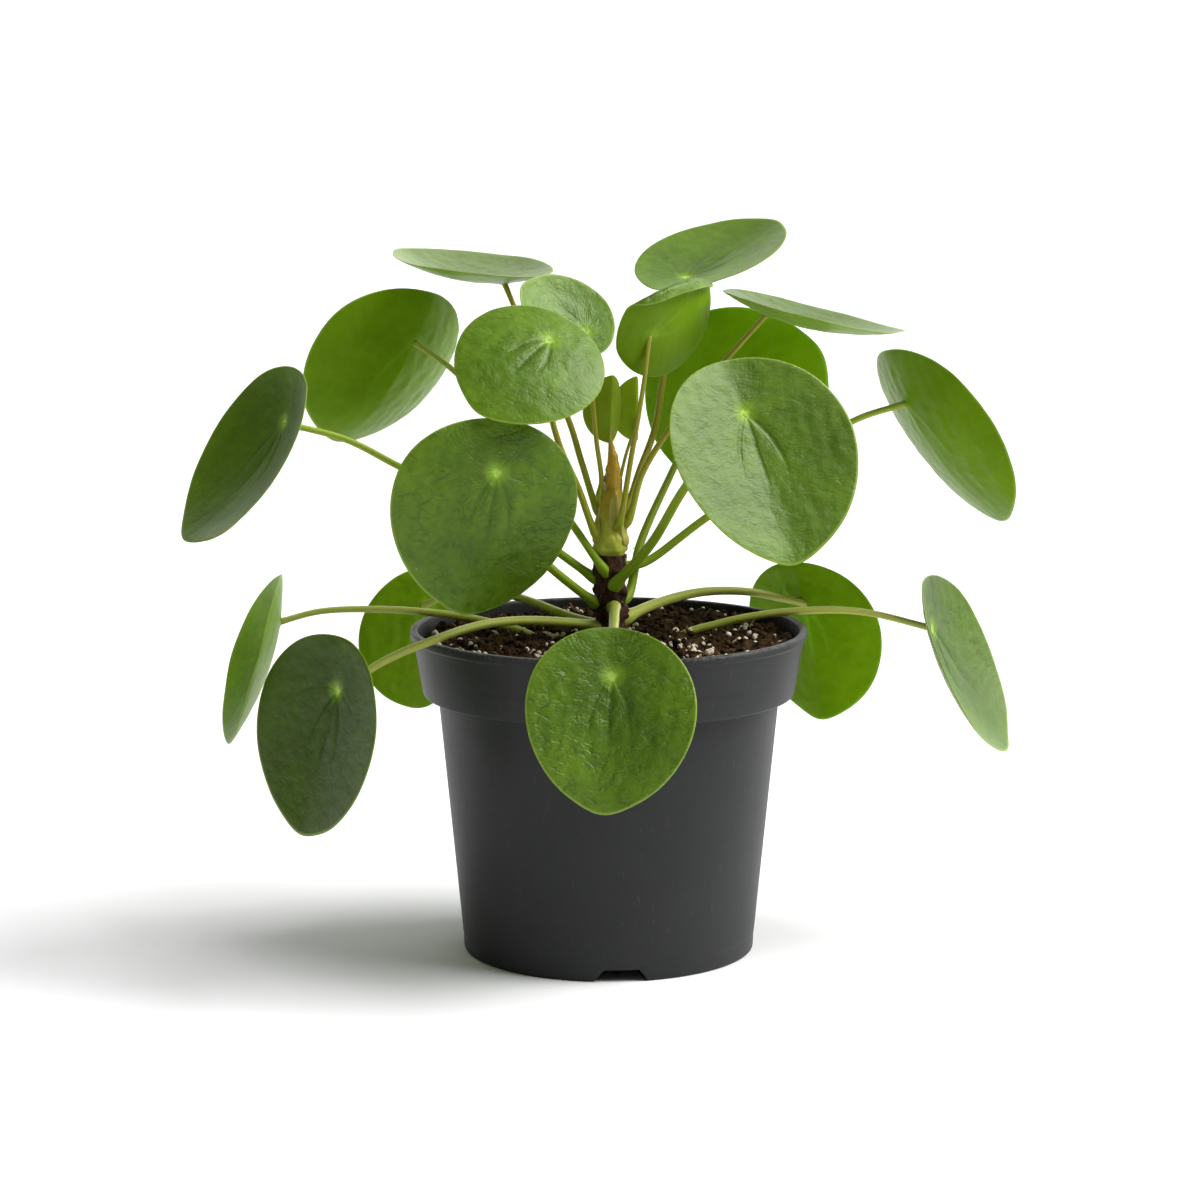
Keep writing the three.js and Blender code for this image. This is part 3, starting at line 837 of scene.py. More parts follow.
@dataclass(frozen=True)
class PotPlastic:
    """Charcoal nursery-pot plastic: fine-grained, satin, scuffed and dusty along the lip, with painted shade
    on the wall inside.

    Attributes:
        base: the usual colour.
        lighter: its lighter patches.
        dust: the scuffs and the worn lip.
        shaded: painted shade, a near-black colour for the wall inside, above the mix.
        lip_from: the height where the wear starts, in mm.
        lip_full: where it is full.
        inner_full: the radius under which the wall counts as inside, in mm.
        inner_from: the radius from which it doesn't.
        inner_above: the height above which it does, in mm, because the body below is as narrow.
    """

    base: Colour = (0.013, 0.0135, 0.0142)
    lighter: Colour = (0.021, 0.0215, 0.0227)
    dust: Colour = (0.150, 0.145, 0.138)
    shaded: Colour = (0.002, 0.002, 0.0015)
    lip_from: float = 97.0
    lip_full: float = 98.6
    inner_full: float = 56.6
    inner_from: float = 57.6
    inner_above: float = 86.0

    def build(self) -> bpy.types.Material:
        """The pot's material."""
        graph = Graph("pot_plastic")
        place = graph.place()
        height = graph.over(graph.parts(place)[2], MM)
        broad = graph.noise(place, size=45 * MM, detail=3)
        colour = graph.ramp(broad, (0.3, self.base), (0.75, self.lighter))
        lengthened = graph.squeezed(place, 1.0, 1.0, 0.25)
        scuffs = graph.step(graph.noise(lengthened, size=1.4 * MM, detail=4, distortion=0.4), 0.60, 0.78)
        colour = graph.mix(graph.times(scuffs, 0.10), colour, self.dust)
        worn = graph.times(graph.step(height, self.lip_from, self.lip_full),
                           graph.step(graph.noise(place, size=1.1 * MM, detail=4), 0.34, 0.70))
        colour = graph.mix(graph.times(worn, 0.60), colour, self.dust)
        # Painted shade: the wall inside the pot, above the band's foot, is blended to near black as the
        # shadow in it.
        across = graph.over(graph.vector("LENGTH", graph.squeezed(place, 1.0, 1.0, 0.0)), MM)
        inside = graph.times(graph.step(across, self.inner_from, self.inner_full),
                             graph.step(height, self.inner_above - 1.0, self.inner_above))
        colour = graph.mix(inside, colour, self.shaded)
        grain = graph.times(graph.noise(place, size=0.35 * MM), 0.25)
        relief = graph.plus(grain, graph.noise(lengthened, size=9 * MM))
        graph.set(
            Base_Color=colour,
            Roughness=graph.plus(0.40, graph.times(graph.plus(broad, worn), 0.16)),
            Normal=graph.bump(relief, depth=0.10, strength=0.5),
            Specular_IOR_Level=0.25,
        )
        return graph.material


class Grain(Enum):
    """The kinds of material in the potting mix."""

    PEAT = "peat"
    BARK = "bark"
    PERLITE = "perlite"

    def looks(self) -> tuple[Colour, Colour, float]:
        """The grain's darkest and lightest colours, and its roughness."""
        return {
            Grain.PEAT: ((0.004, 0.002, 0.001), (0.078, 0.040, 0.014), 0.95),
            Grain.BARK: ((0.030, 0.014, 0.006), (0.190, 0.096, 0.045), 0.85),
            Grain.PERLITE: ((0.560, 0.470, 0.350), (0.930, 0.860, 0.740), 0.90),
        }[self]


@dataclass(frozen=True)
class MixFinish:
    """Potting mix: near-black damp peat, brown bark and fibre, and cream perlite."""

    grain: Grain

    def build(self) -> bpy.types.Material:
        """The material of this kind of grain."""
        low, high, rough = self.grain.looks()
        graph = Graph(f"mix_{self.grain.value}")
        place = graph.place()
        clumps = graph.noise(place, size=5 * MM, detail=3)
        fine = graph.noise(place, size=0.9 * MM, detail=4)
        value = graph.plus(graph.times(clumps, 0.55), graph.times(fine, 0.45))
        graph.set(
            Base_Color=graph.ramp(value, (0.40, low), (0.66, high)),
            Roughness=rough,
            Normal=graph.bump(fine, depth=0.35, strength=0.9),
            Specular_IOR_Level=0.10,
        )
        return graph.material


@dataclass(frozen=True)
class BarkFinish:
    """The woody trunk: almost black, reddish on its ridges, with pale corky specks."""

    dark: Colour = (0.012, 0.005, 0.002)
    ridge: Colour = (0.110, 0.040, 0.016)
    speck: Colour = (0.380, 0.290, 0.210)

    def build(self) -> bpy.types.Material:
        """The trunk's material."""
        graph = Graph("trunk_bark")
        place = graph.place()
        lengthened = graph.squeezed(place, 1.0, 1.0, 0.45)
        fissures = graph.noise(lengthened, size=1.3 * MM, detail=4, distortion=0.5)
        patches = graph.noise(place, size=4 * MM)
        value = graph.plus(graph.times(fissures, 0.6), graph.times(patches, 0.4))
        colour = graph.ramp(value, (0.38, self.dark), (0.70, self.ridge))
        spots = graph.times(graph.step(graph.cells(place, size=1.3 * MM, smooth=False), 0.30, 0.16),
                            graph.step(graph.noise(place, size=3 * MM, detail=1), 0.50, 0.62))
        graph.set(
            Base_Color=graph.mix(graph.times(spots, 0.6), colour, self.speck),
            Roughness=0.70,
            Normal=graph.bump(fissures, depth=0.5, strength=0.9),
            Specular_IOR_Level=0.2,
        )
        return graph.material


@dataclass(frozen=True)
class ShootFinish:
    """The young crown: waxy yellow-green at its swollen foot, olive above, brown in the bud."""

    foot: Colour = (0.430, 0.480, 0.060)
    middle: Colour = (0.380, 0.350, 0.040)
    top: Colour = (0.370, 0.240, 0.020)
    tip: Colour = (0.560, 0.330, 0.035)
    gloss: Colour = (1.0, 0.95, 0.50)
    flesh: Colour = (0.6, 1.0, 0.2)
    from_height: float = 121.0
    to_height: float = 155.0

    def build(self) -> bpy.types.Material:
        """The material of the shoot and its bud, shaded by height."""
        graph = Graph("shoot_skin")
        place = graph.place()
        height = graph.over(graph.parts(place)[2], MM)
        rise = graph.over(graph.minus(height, self.from_height), self.to_height - self.from_height)
        patches = graph.noise(place, size=3.5 * MM)
        drift = graph.plus(rise, graph.times(graph.minus(patches, 0.5), 0.22))
        colour = graph.ramp(drift, (0.02, self.foot), (0.32, self.middle), (0.62, self.top), (0.95, self.tip))
        fibres = graph.noise(graph.squeezed(place, 1.0, 1.0, 0.2), size=0.7 * MM, detail=3)
        graph.set(
            Base_Color=graph.mix(graph.times(graph.step(fibres, 0.55, 0.72), 0.30), colour, self.tip),
            Roughness=0.34,
            Normal=graph.bump(fibres, depth=0.16, strength=0.7),
            Specular_IOR_Level=0.40,
            Specular_Tint=self.gloss,
            Subsurface_Weight=0.3,
            Subsurface_Radius=self.flesh,
            Subsurface_Scale=0.9 * MM,
        )
        return graph.material


@dataclass(frozen=True)
class SheathFinish:
    """Papery leaf sheaths: pale and translucent, with brown fibres."""

    pale: Colour = (0.440, 0.420, 0.070)
    brown: Colour = (0.340, 0.240, 0.035)
    flesh: Colour = (1.0, 0.9, 0.6)

    def build(self) -> bpy.types.Material:
        """The sheaths' material."""
        graph = Graph("papery_sheath")
        fibres = graph.noise(graph.squeezed(graph.place(), 1.0, 1.0, 0.2), size=0.8 * MM, detail=3)
        graph.set(
            Base_Color=graph.ramp(fibres, (0.35, self.pale), (0.72, self.brown)),
            Roughness=0.55,
            Normal=graph.bump(fibres, depth=0.12, strength=0.6),
            Subsurface_Weight=0.4,
            Subsurface_Radius=self.flesh,
            Subsurface_Scale=0.6 * MM,
        )
        return graph.material


@dataclass
class Pot:
    """The nursery pot: lip, band, ledge, body, notched foot ring and drained floor, turned round +Z."""

    lip_radius: float = 60.0
    height: float = 98.5
    lip_drop: float = 2.4
    lip_overhang: float = 0.9
    band_bottom: float = 78.6
    band_bottom_radius: float = 56.1
    body_top_radius: float = 51.65
    foot_radius: float = 44.2
    foot_step: float = 0.35
    foot_step_height: float = 5.5
    ring_width: float = 6.0
    wall: float = 1.3
    ledge_half: float = 1.0
    lip_width: float = 2.2
    lip_taper: float = 0.1
    lip_rise: float = 0.5
    ring_slant: float = 0.6
    floor_under: float = 4.0
    floor_top: float = 5.6
    notch_height: float = 3.6
    notch_top: float = 11.0
    notch_bottom: float = 16.0
    first_notch: float = -85.0
    notches: int = 3
    drain_radius: float = 4.0
    drain_circle: float = 31.0
    drain_sides: int = 32
    sides: int = 240
    bend_points: int = 6
    longest_gap: float = 2.5
    slant_points: int = 9
    slant_margin: float = 0.4

    def body_radius(self, z: float) -> float:
        """The body's outer radius at a height."""
        low = self.foot_radius + self.foot_step
        share = (z - self.foot_step_height) / (self.band_bottom - self.foot_step_height)
        return low + (self.body_top_radius - low) * share

    def band_radius(self, z: float) -> float:
        """The band's outer radius at a height."""
        share = (z - self.band_bottom) / (self.height - self.lip_drop - self.band_bottom)
        top_radius = self.lip_radius - self.lip_overhang
        return self.band_bottom_radius + (top_radius - self.band_bottom_radius) * share

    def corners(self) -> list[tuple[float, float, float]]:
        """The profile's corners, from the floor's underside round to its top: radius, height, rounding."""
        lip_foot = self.height - self.lip_drop
        low, high = self.band_bottom - self.ledge_half, self.band_bottom + self.ledge_half
        bottom = self.band_bottom
        step = self.foot_step_height
        lip_start = lip_foot - self.lip_rise
        return [
            (self.foot_radius - self.ring_width - self.ring_slant, self.floor_under, 0.5),
            (self.foot_radius - self.ring_width, 0.0, 0.3),
            (self.foot_radius, 0.0, 1.0),
            (self.foot_radius + self.foot_step / 2, step - self.ring_slant, 0.3),
            (self.body_radius(step), step, 0.3),
            (self.body_radius(bottom), bottom, 0.7),
            (self.band_bottom_radius, bottom, 0.9),
            (self.band_radius(lip_start), lip_start, 0.3),
            (self.lip_radius - self.lip_taper, lip_foot, 0.4),
            (self.lip_radius, self.height, 0.95),
            (self.lip_radius - self.lip_width, self.height, 0.7),
            (self.band_radius(high) - self.wall, high, 0.6),
            (self.body_radius(low) - self.wall, low, 0.6),
            (self.body_radius(self.floor_top) - self.wall, self.floor_top, 0.6),
        ]

    def profile(self) -> Array:
        """The rounded profile, with extra points on its long stretches.

        Each corner becomes a quadratic curve that starts and ends its rounding away from the corner.

        Returns:
            Points of radius and height, from the axis under the floor to the axis on top of it.
        """
        corners = self.corners()
        points = np.array([[0.0, self.floor_under], *[c[:2] for c in corners], [0.0, self.floor_top]])
        out = [points[:1]]
        bend = np.linspace(0, 1, self.bend_points)[:, None]
        for index, (_, _, rounding) in enumerate(corners, start=1):
            before, here, after = points[index - 1 : index + 2]
            start = here + unit(before - here) * rounding
            end = here + unit(after - here) * rounding
            out.append((1 - bend) ** 2 * start + 2 * bend * (1 - bend) * here + bend**2 * end)
        line = np.concatenate([*out, points[-1:]])
        gaps = np.linalg.norm(np.diff(line, axis=0), axis=1)
        runs = [np.linspace(start, end, max(int(gap / self.longest_gap), 1), endpoint=False)
                for start, end, gap in zip(line[:-1], line[1:], gaps)]
        return np.concatenate([*runs, line[-1:]])

    def angles(self) -> Array:
        """Angles round the pot, closer together at the notches' slanted sides."""
        notch_angles = np.radians(self.first_notch) + np.arange(self.notches) * 2 * np.pi / self.notches
        inner, outer = self.notch_top / 2 - self.slant_margin, self.notch_bottom / 2 + self.slant_margin
        edges = np.linspace(inner, outer, self.slant_points) / self.foot_radius
        extra = (notch_angles[:, None] + np.concatenate([-edges, edges])).ravel()
        every = np.concatenate([ring_angles(self.sides), extra])
        return np.unique(np.round((every + np.pi) % (2 * np.pi), 5))

    def build(self, finish: bpy.types.Material) -> bpy.types.Object:
        """The pot, with its notches lifted out of the foot ring and its drain holes cut.

        A notch lifts every point of the ring under its roof. The roof's height over a point is set by the
        point's distance s along the ring from the notch's middle: full inside the top width, falling in
        a straight line to the ground at the bottom width.

        Args:
            finish: the pot's material.

        Returns:
            The finished pot.
        """
        profile, angles = self.profile(), self.angles()
        radius = profile[:, :1]
        rows = np.stack([radius * np.cos(angles), radius * np.sin(angles),
                         np.broadcast_to(profile[:, 1:], (len(profile), len(angles)))], -1)
        spacing = 2 * np.pi / self.notches
        from_notch = (angles - np.radians(self.first_notch) + spacing / 2) % spacing - spacing / 2
        along_ring = np.abs(from_notch) * self.foot_radius
        slope = self.notch_height / ((self.notch_bottom - self.notch_top) / 2)
        roof = np.clip((self.notch_bottom / 2 - along_ring) * slope, 0, self.notch_height)
        in_ring = radius > self.foot_radius - self.ring_width - self.ring_slant - 0.1
        outer_half = (np.arange(len(profile)) < np.argmax(profile[:, 1]))[:, None]
        lifted = np.maximum(rows[..., 2], roof)
        rows[..., 2] = np.where(in_ring & outer_half, lifted, rows[..., 2])
        pot = closed_skin("nursery_pot", rows, [finish])
        self.cut_drains(pot)
        return pot

    def cut_drains(self, pot: bpy.types.Object) -> None:
        """Cuts the round drain holes through the floor.

        Args:
            pot: the turned pot, which is changed.
        """
        around = ring_angles(self.drain_sides)
        levels = np.array([0.0, 0.0, 2.0, 2.0])[:, None] * self.floor_top
        reach = np.array([0.0, 1.0, 1.0, 0.0])[:, None] * self.drain_radius
        cutters = []
        for count in range(self.notches):
            angle = math.radians(self.first_notch + 360 * count / self.notches)
            x, y = self.drain_circle * math.cos(angle), self.drain_circle * math.sin(angle)
            rows = np.stack([x + reach * np.cos(around), y + reach * np.sin(around),
                             np.broadcast_to(levels, (4, len(around)))], -1)
            cutters.append(closed_skin(f"drain_cutter_{count}", rows, []))
        for cutter in cutters:
            cut = pot.modifiers.new("drain", "BOOLEAN")
            cut.operation = "DIFFERENCE"
            cut.solver = "EXACT"
            cut.object = cutter
        bpy.context.view_layer.update()
        drained = bpy.data.meshes.new_from_object(pot.evaluated_get(bpy.context.evaluated_depsgraph_get()))
        pot.modifiers.clear()
        pot.data = drained
        for cutter in cutters:
            bpy.data.objects.remove(cutter)


@dataclass
class Soil:
    """The potting mix: a crumbly surface under the lip, with loose crumbs, bark and perlite on it."""

    pot: Pot
    level: float = 94.5
    gap: float = 0.3
    stem: tuple[float, float] = (0.4, 2.0)
    stem_room: float = 5.4
    sides: int = 220
    rings: int = 104
    crumbs: int = 1700
    chips: int = 170
    scattered_perlite: int = 150
    reach: float = 0.97
    perlite_margin: float = 1.5
    crossed_ripple: float = 0.9
    slanted_ripple: float = 0.6
    mound_height: float = 1.6
    mound_at: tuple[float, float] = (28, 38)
    mound_reach: float = 18
    edge_drop: float = 1.1
    edge_width: float = 4.0
    dent_size: float = 2.2
    dent_depth: float = 0.20
    lump_tilt: float = 0.5
    # size, depth and seed of each noise
    lumps: tuple[tuple[float, float, int], ...] = ((9.0, 0.75, 3), (4.0, 0.65, 4), (1.9, 0.38, 5))
    # x, y, spread and number of grains
    clusters: tuple[tuple[float, float, float, int], ...] = (
        (21, -15, 4.0, 30), (28, -33, 6.0, 34), (39, -3, 4.0, 18), (40, 15, 5.0, 14),
        (-45, -29, 4.0, 16), (-53, -12, 2.5, 10), (-21, -29, 3.5, 14), (-17, 8, 3.0, 10),
        (9, -49, 4.0, 12), (26, -49, 4.0, 10), (-40, 24, 5.0, 10), (15, 50, 4.0, 8), (-13, 46, 4.0, 8),
    )

    def rim(self) -> float:
        """The radius of the mix at its surface."""
        return self.pot.band_radius(self.level) - self.pot.wall - 0.15

    def top(self, x: Array, y: Array) -> Array:
        """The height of the mix's surface.

        Two crossed ripples and a low mound, as in the solid, then lumps of three sizes: each is a
        constant less the size of a noise, so that it is rounded above and creased below. The edge sinks.

        Args:
            x: places across, in mm.
            y: places in depth, in mm.

        Returns:
            Heights in mm.
        """
        ripples = self.crossed_ripple * np.sin(0.21 * x + 1.3) * np.cos(0.19 * y - 0.4)
        ripples = ripples + self.slanted_ripple * np.sin(0.37 * x - 0.29 * y + 2.1)
        from_mound = (x - self.mound_at[0]) ** 2 + (y - self.mound_at[1]) ** 2
        mound = self.mound_height * np.exp(-from_mound / self.mound_reach**2)
        places = np.stack([x, y, np.zeros_like(x)], -1)
        lumps = sum(depth * (0.8 - np.abs(wave_noise(places, size, seed, 40)))
                    for size, depth, seed in self.lumps)
        sunk = self.edge_drop * smoothstep(self.rim() - self.edge_width, self.rim(), np.hypot(x, y))
        return self.level + ripples + mound + lumps - sunk

    def build(self, finish: bpy.types.Material) -> bpy.types.Object:
        """The body of the mix, filling the pot from its floor to the crumbly surface.

        Args:
            finish: the peat's material.

        Returns:
            The finished piece.
        """
        pot = self.pot
        angles = ring_angles(self.sides)
        low, high = pot.band_bottom - pot.ledge_half, pot.band_bottom + pot.ledge_half
        foot = pot.floor_top + self.gap
        walls = [
            (0.0, foot),
            (pot.body_radius(foot) - pot.wall - self.gap, foot),
            (pot.body_radius(low) - pot.wall - self.gap, low + self.gap),
            (pot.band_radius(high) - pot.wall - self.gap, high + 1.5 * self.gap),
            (self.rim(), self.level - 5.0),
        ]
        shares = np.linspace(1, 0, self.rings)
        radii = np.concatenate([[wall[0] for wall in walls], self.rim() * shares])[:, None]
        x, y = radii * np.cos(angles), radii * np.sin(angles)
        z = self.top(x, y)
        z[: len(walls)] = np.array([wall[1] for wall in walls])[:, None]
        return closed_skin("soil_body", np.stack([x, y, z], -1), [finish])

    def spots(self, draw: np.random.Generator, count: int) -> Array:
        """Random places on the surface, clear of the trunk.

        Args:
            draw: the random generator.
            count: how many.

        Returns:
            Places as x and y, in mm.
        """
        radius = self.rim() * np.sqrt(draw.uniform(0.0, self.reach, 2 * count))
        angle = draw.uniform(-np.pi, np.pi, 2 * count)
        places = np.stack([radius * np.cos(angle), radius * np.sin(angle)], -1)
        clear = np.linalg.norm(places - self.stem, axis=1) > self.stem_room
        return places[clear][:count]

    def perlite_spots(self, draw: np.random.Generator) -> Array:
        """Places of the perlite: some all over, most in loose clusters.

        Args:
            draw: the random generator.

        Returns:
            Places as x and y, in mm.
        """
        groups = [self.spots(draw, self.scattered_perlite)]
        for x, y, spread, count in self.clusters:
            groups.append(draw.normal((x, y), spread / 2, (count, 2)))
        places = np.concatenate(groups)
        inside = np.hypot(places[:, 0], places[:, 1]) < self.rim() - self.perlite_margin
        clear = np.linalg.norm(places - self.stem, axis=1) > self.stem_room
        return places[inside & clear]

    def strew(self, name: str, places: Array, sizes: Array, lift: float, finish: bpy.types.Material,
              seed: int) -> bpy.types.Object:
        """Many small lumps laid on the surface as one piece.

        Every lump is the same ball of triangles, stretched by its own three sizes, turned at random, and
        dented by noise that is read at a different place for each.

        Args:
            name: the piece's name.
            places: x and y of each lump.
            sizes: half lengths of each lump, by three.
            lift: how far the centres stand above the surface, as a share of the thinnest half length.
            finish: their material.
            seed: for turns and dents.

        Returns:
            The finished piece.
        """
        draw = np.random.default_rng(seed)
        ball, faces = lump_ball()
        count = len(places)
        dents = wave_noise(ball[None] + draw.uniform(-40, 40, (count, 1, 3)), self.dent_size, seed)
        shaped = ball[None] * (1 + self.dent_depth * dents[..., None]) * sizes[:, None, :]
        turns = random_turns(draw, count, self.lump_tilt)
        laid = np.einsum("nij,nmj->nmi", turns, shaped)
        height = self.top(places[:, 0], places[:, 1]) + lift * sizes.min(1)
        laid = laid + np.concatenate([places, height[:, None]], 1)[:, None, :]
        every = faces[None] + (np.arange(count) * len(ball))[:, None, None]
        mesh = bpy.data.meshes.new(name)
        mesh.from_pydata((laid.reshape(-1, 3) * MM).tolist(), [], every.reshape(-1, 3).tolist())
        mesh.materials.append(finish)
        return put_in_scene(name, mesh)

    def crumb_pieces(self, finishes: dict[Grain, bpy.types.Material]) -> list[bpy.types.Object]:
        """The loose crumbs, bark chips and perlite grains.

        Args:
            finishes: the material of each kind.

        Returns:
            One piece for each kind.
        """
        draw = np.random.default_rng(21)
        peat = self.spots(draw, self.crumbs)
        peat_sizes = np.exp(draw.normal(-0.55, 0.42, (len(peat), 1))) * draw.uniform(0.7, 1.2, (len(peat), 3))
        bark = self.spots(draw, self.chips)
        bark_sizes = draw.uniform((1.0, 0.35, 0.2), (3.0, 0.9, 0.45), (len(bark), 3))
        perlite = self.perlite_spots(draw)
        perlite_sizes = draw.uniform(0.35, 1.05, (len(perlite), 1))
        perlite_sizes = perlite_sizes * draw.uniform(0.75, 1.15, (len(perlite), 3))
        return [
            self.strew("soil_crumbs", peat, peat_sizes, 0.3, finishes[Grain.PEAT], 31),
            self.strew("soil_bark_chips", bark, bark_sizes, 0.6, finishes[Grain.BARK], 32),
            self.strew("soil_perlite", perlite, perlite_sizes, 0.35, finishes[Grain.PERLITE], 33),
        ]


def lump_ball() -> tuple[Array, Array]:
    """A unit ball of 80 triangles: an icosahedron split once.

    Returns:
        Its points and its triangles.
    """
    golden = (1 + math.sqrt(5)) / 2
    signs = np.array([[-1, golden], [1, golden], [-1, -golden], [1, -golden]])
    zeros = np.zeros((4, 1))
    points = np.concatenate([np.hstack([signs, zeros]), np.hstack([zeros, signs]),
                             np.hstack([signs[:, 1:], zeros, signs[:, :1]])])
    points = unit(points)
    distance = np.linalg.norm(points[:, None] - points[None], axis=-1)
    near = (distance > 0.1) & (distance < 1.2)
    a, b, c = np.nonzero(near[:, :, None] & near[:, None, :] & near[None])
    keep = (a < b) & (b < c)
    triangles = np.stack([a, b, c], -1)[keep]
    corners = points[triangles]
    normal = np.cross(corners[:, 1] - corners[:, 0], corners[:, 2] - corners[:, 0])
    inward = (normal * corners.sum(1)).sum(-1) < 0
    triangles[inward] = triangles[inward][:, ::-1]
    corners = points[triangles]
    halves = unit((corners + np.roll(corners, -1, axis=1)) / 2)
    p, q, r = corners[:, 0], corners[:, 1], corners[:, 2]
    pq, qr, rp = halves[:, 0], halves[:, 1], halves[:, 2]
    split = np.stack([np.stack(face, 1) for face in ((p, pq, rp), (pq, q, qr), (rp, qr, r), (pq, qr, rp))], 1)
    merged, index = np.unique(np.round(split.reshape(-1, 3), 6), axis=0, return_inverse=True)
    return merged, index.reshape(-1, 3)


def random_turns(draw: np.random.Generator, count: int, tilt: float) -> Array:
    """Random rotations: any heading, with a modest tilt.

    Args:
        draw: the random generator.
        count: how many.
        tilt: the usual tilt, in radians.

    Returns:
        Rotation matrices, by count.
    """
    heading = draw.uniform(-np.pi, np.pi, count)
    lean, roll = draw.normal(0, tilt, (2, count))
    zero, one = np.zeros(count), np.ones(count)

    def about(axis: int, angle: Array) -> Array:
        """Rotations about one axis.

        Args:
            axis: 0 for x, 1 for y, 2 for z.
            angle: the angles, in radians.

        Returns:
            Rotation matrices, by count.
        """
        c, s = np.cos(angle), np.sin(angle)
        layouts = {
            0: [[one, zero, zero], [zero, c, -s], [zero, s, c]],
            1: [[c, zero, s], [zero, one, zero], [-s, zero, c]],
            2: [[c, -s, zero], [s, c, zero], [zero, zero, one]],
        }
        return np.moveaxis(np.array(layouts[axis]), -1, 0)

    return about(2, heading) @ about(1, lean) @ about(0, roll)


@dataclass(frozen=True)
class Station:
    """A height on the stem, with its radius and where the axis is."""

    z: float
    radius: float
    x: float = 0.4
    y: float = 2.0


@dataclass(frozen=True)
class Sheath:
    """A papery sheath: its heading in degrees, and its foot height, length, width and outward lean in mm."""

    heading: float
    foot: float
    length: float
    width: float
    lean: float


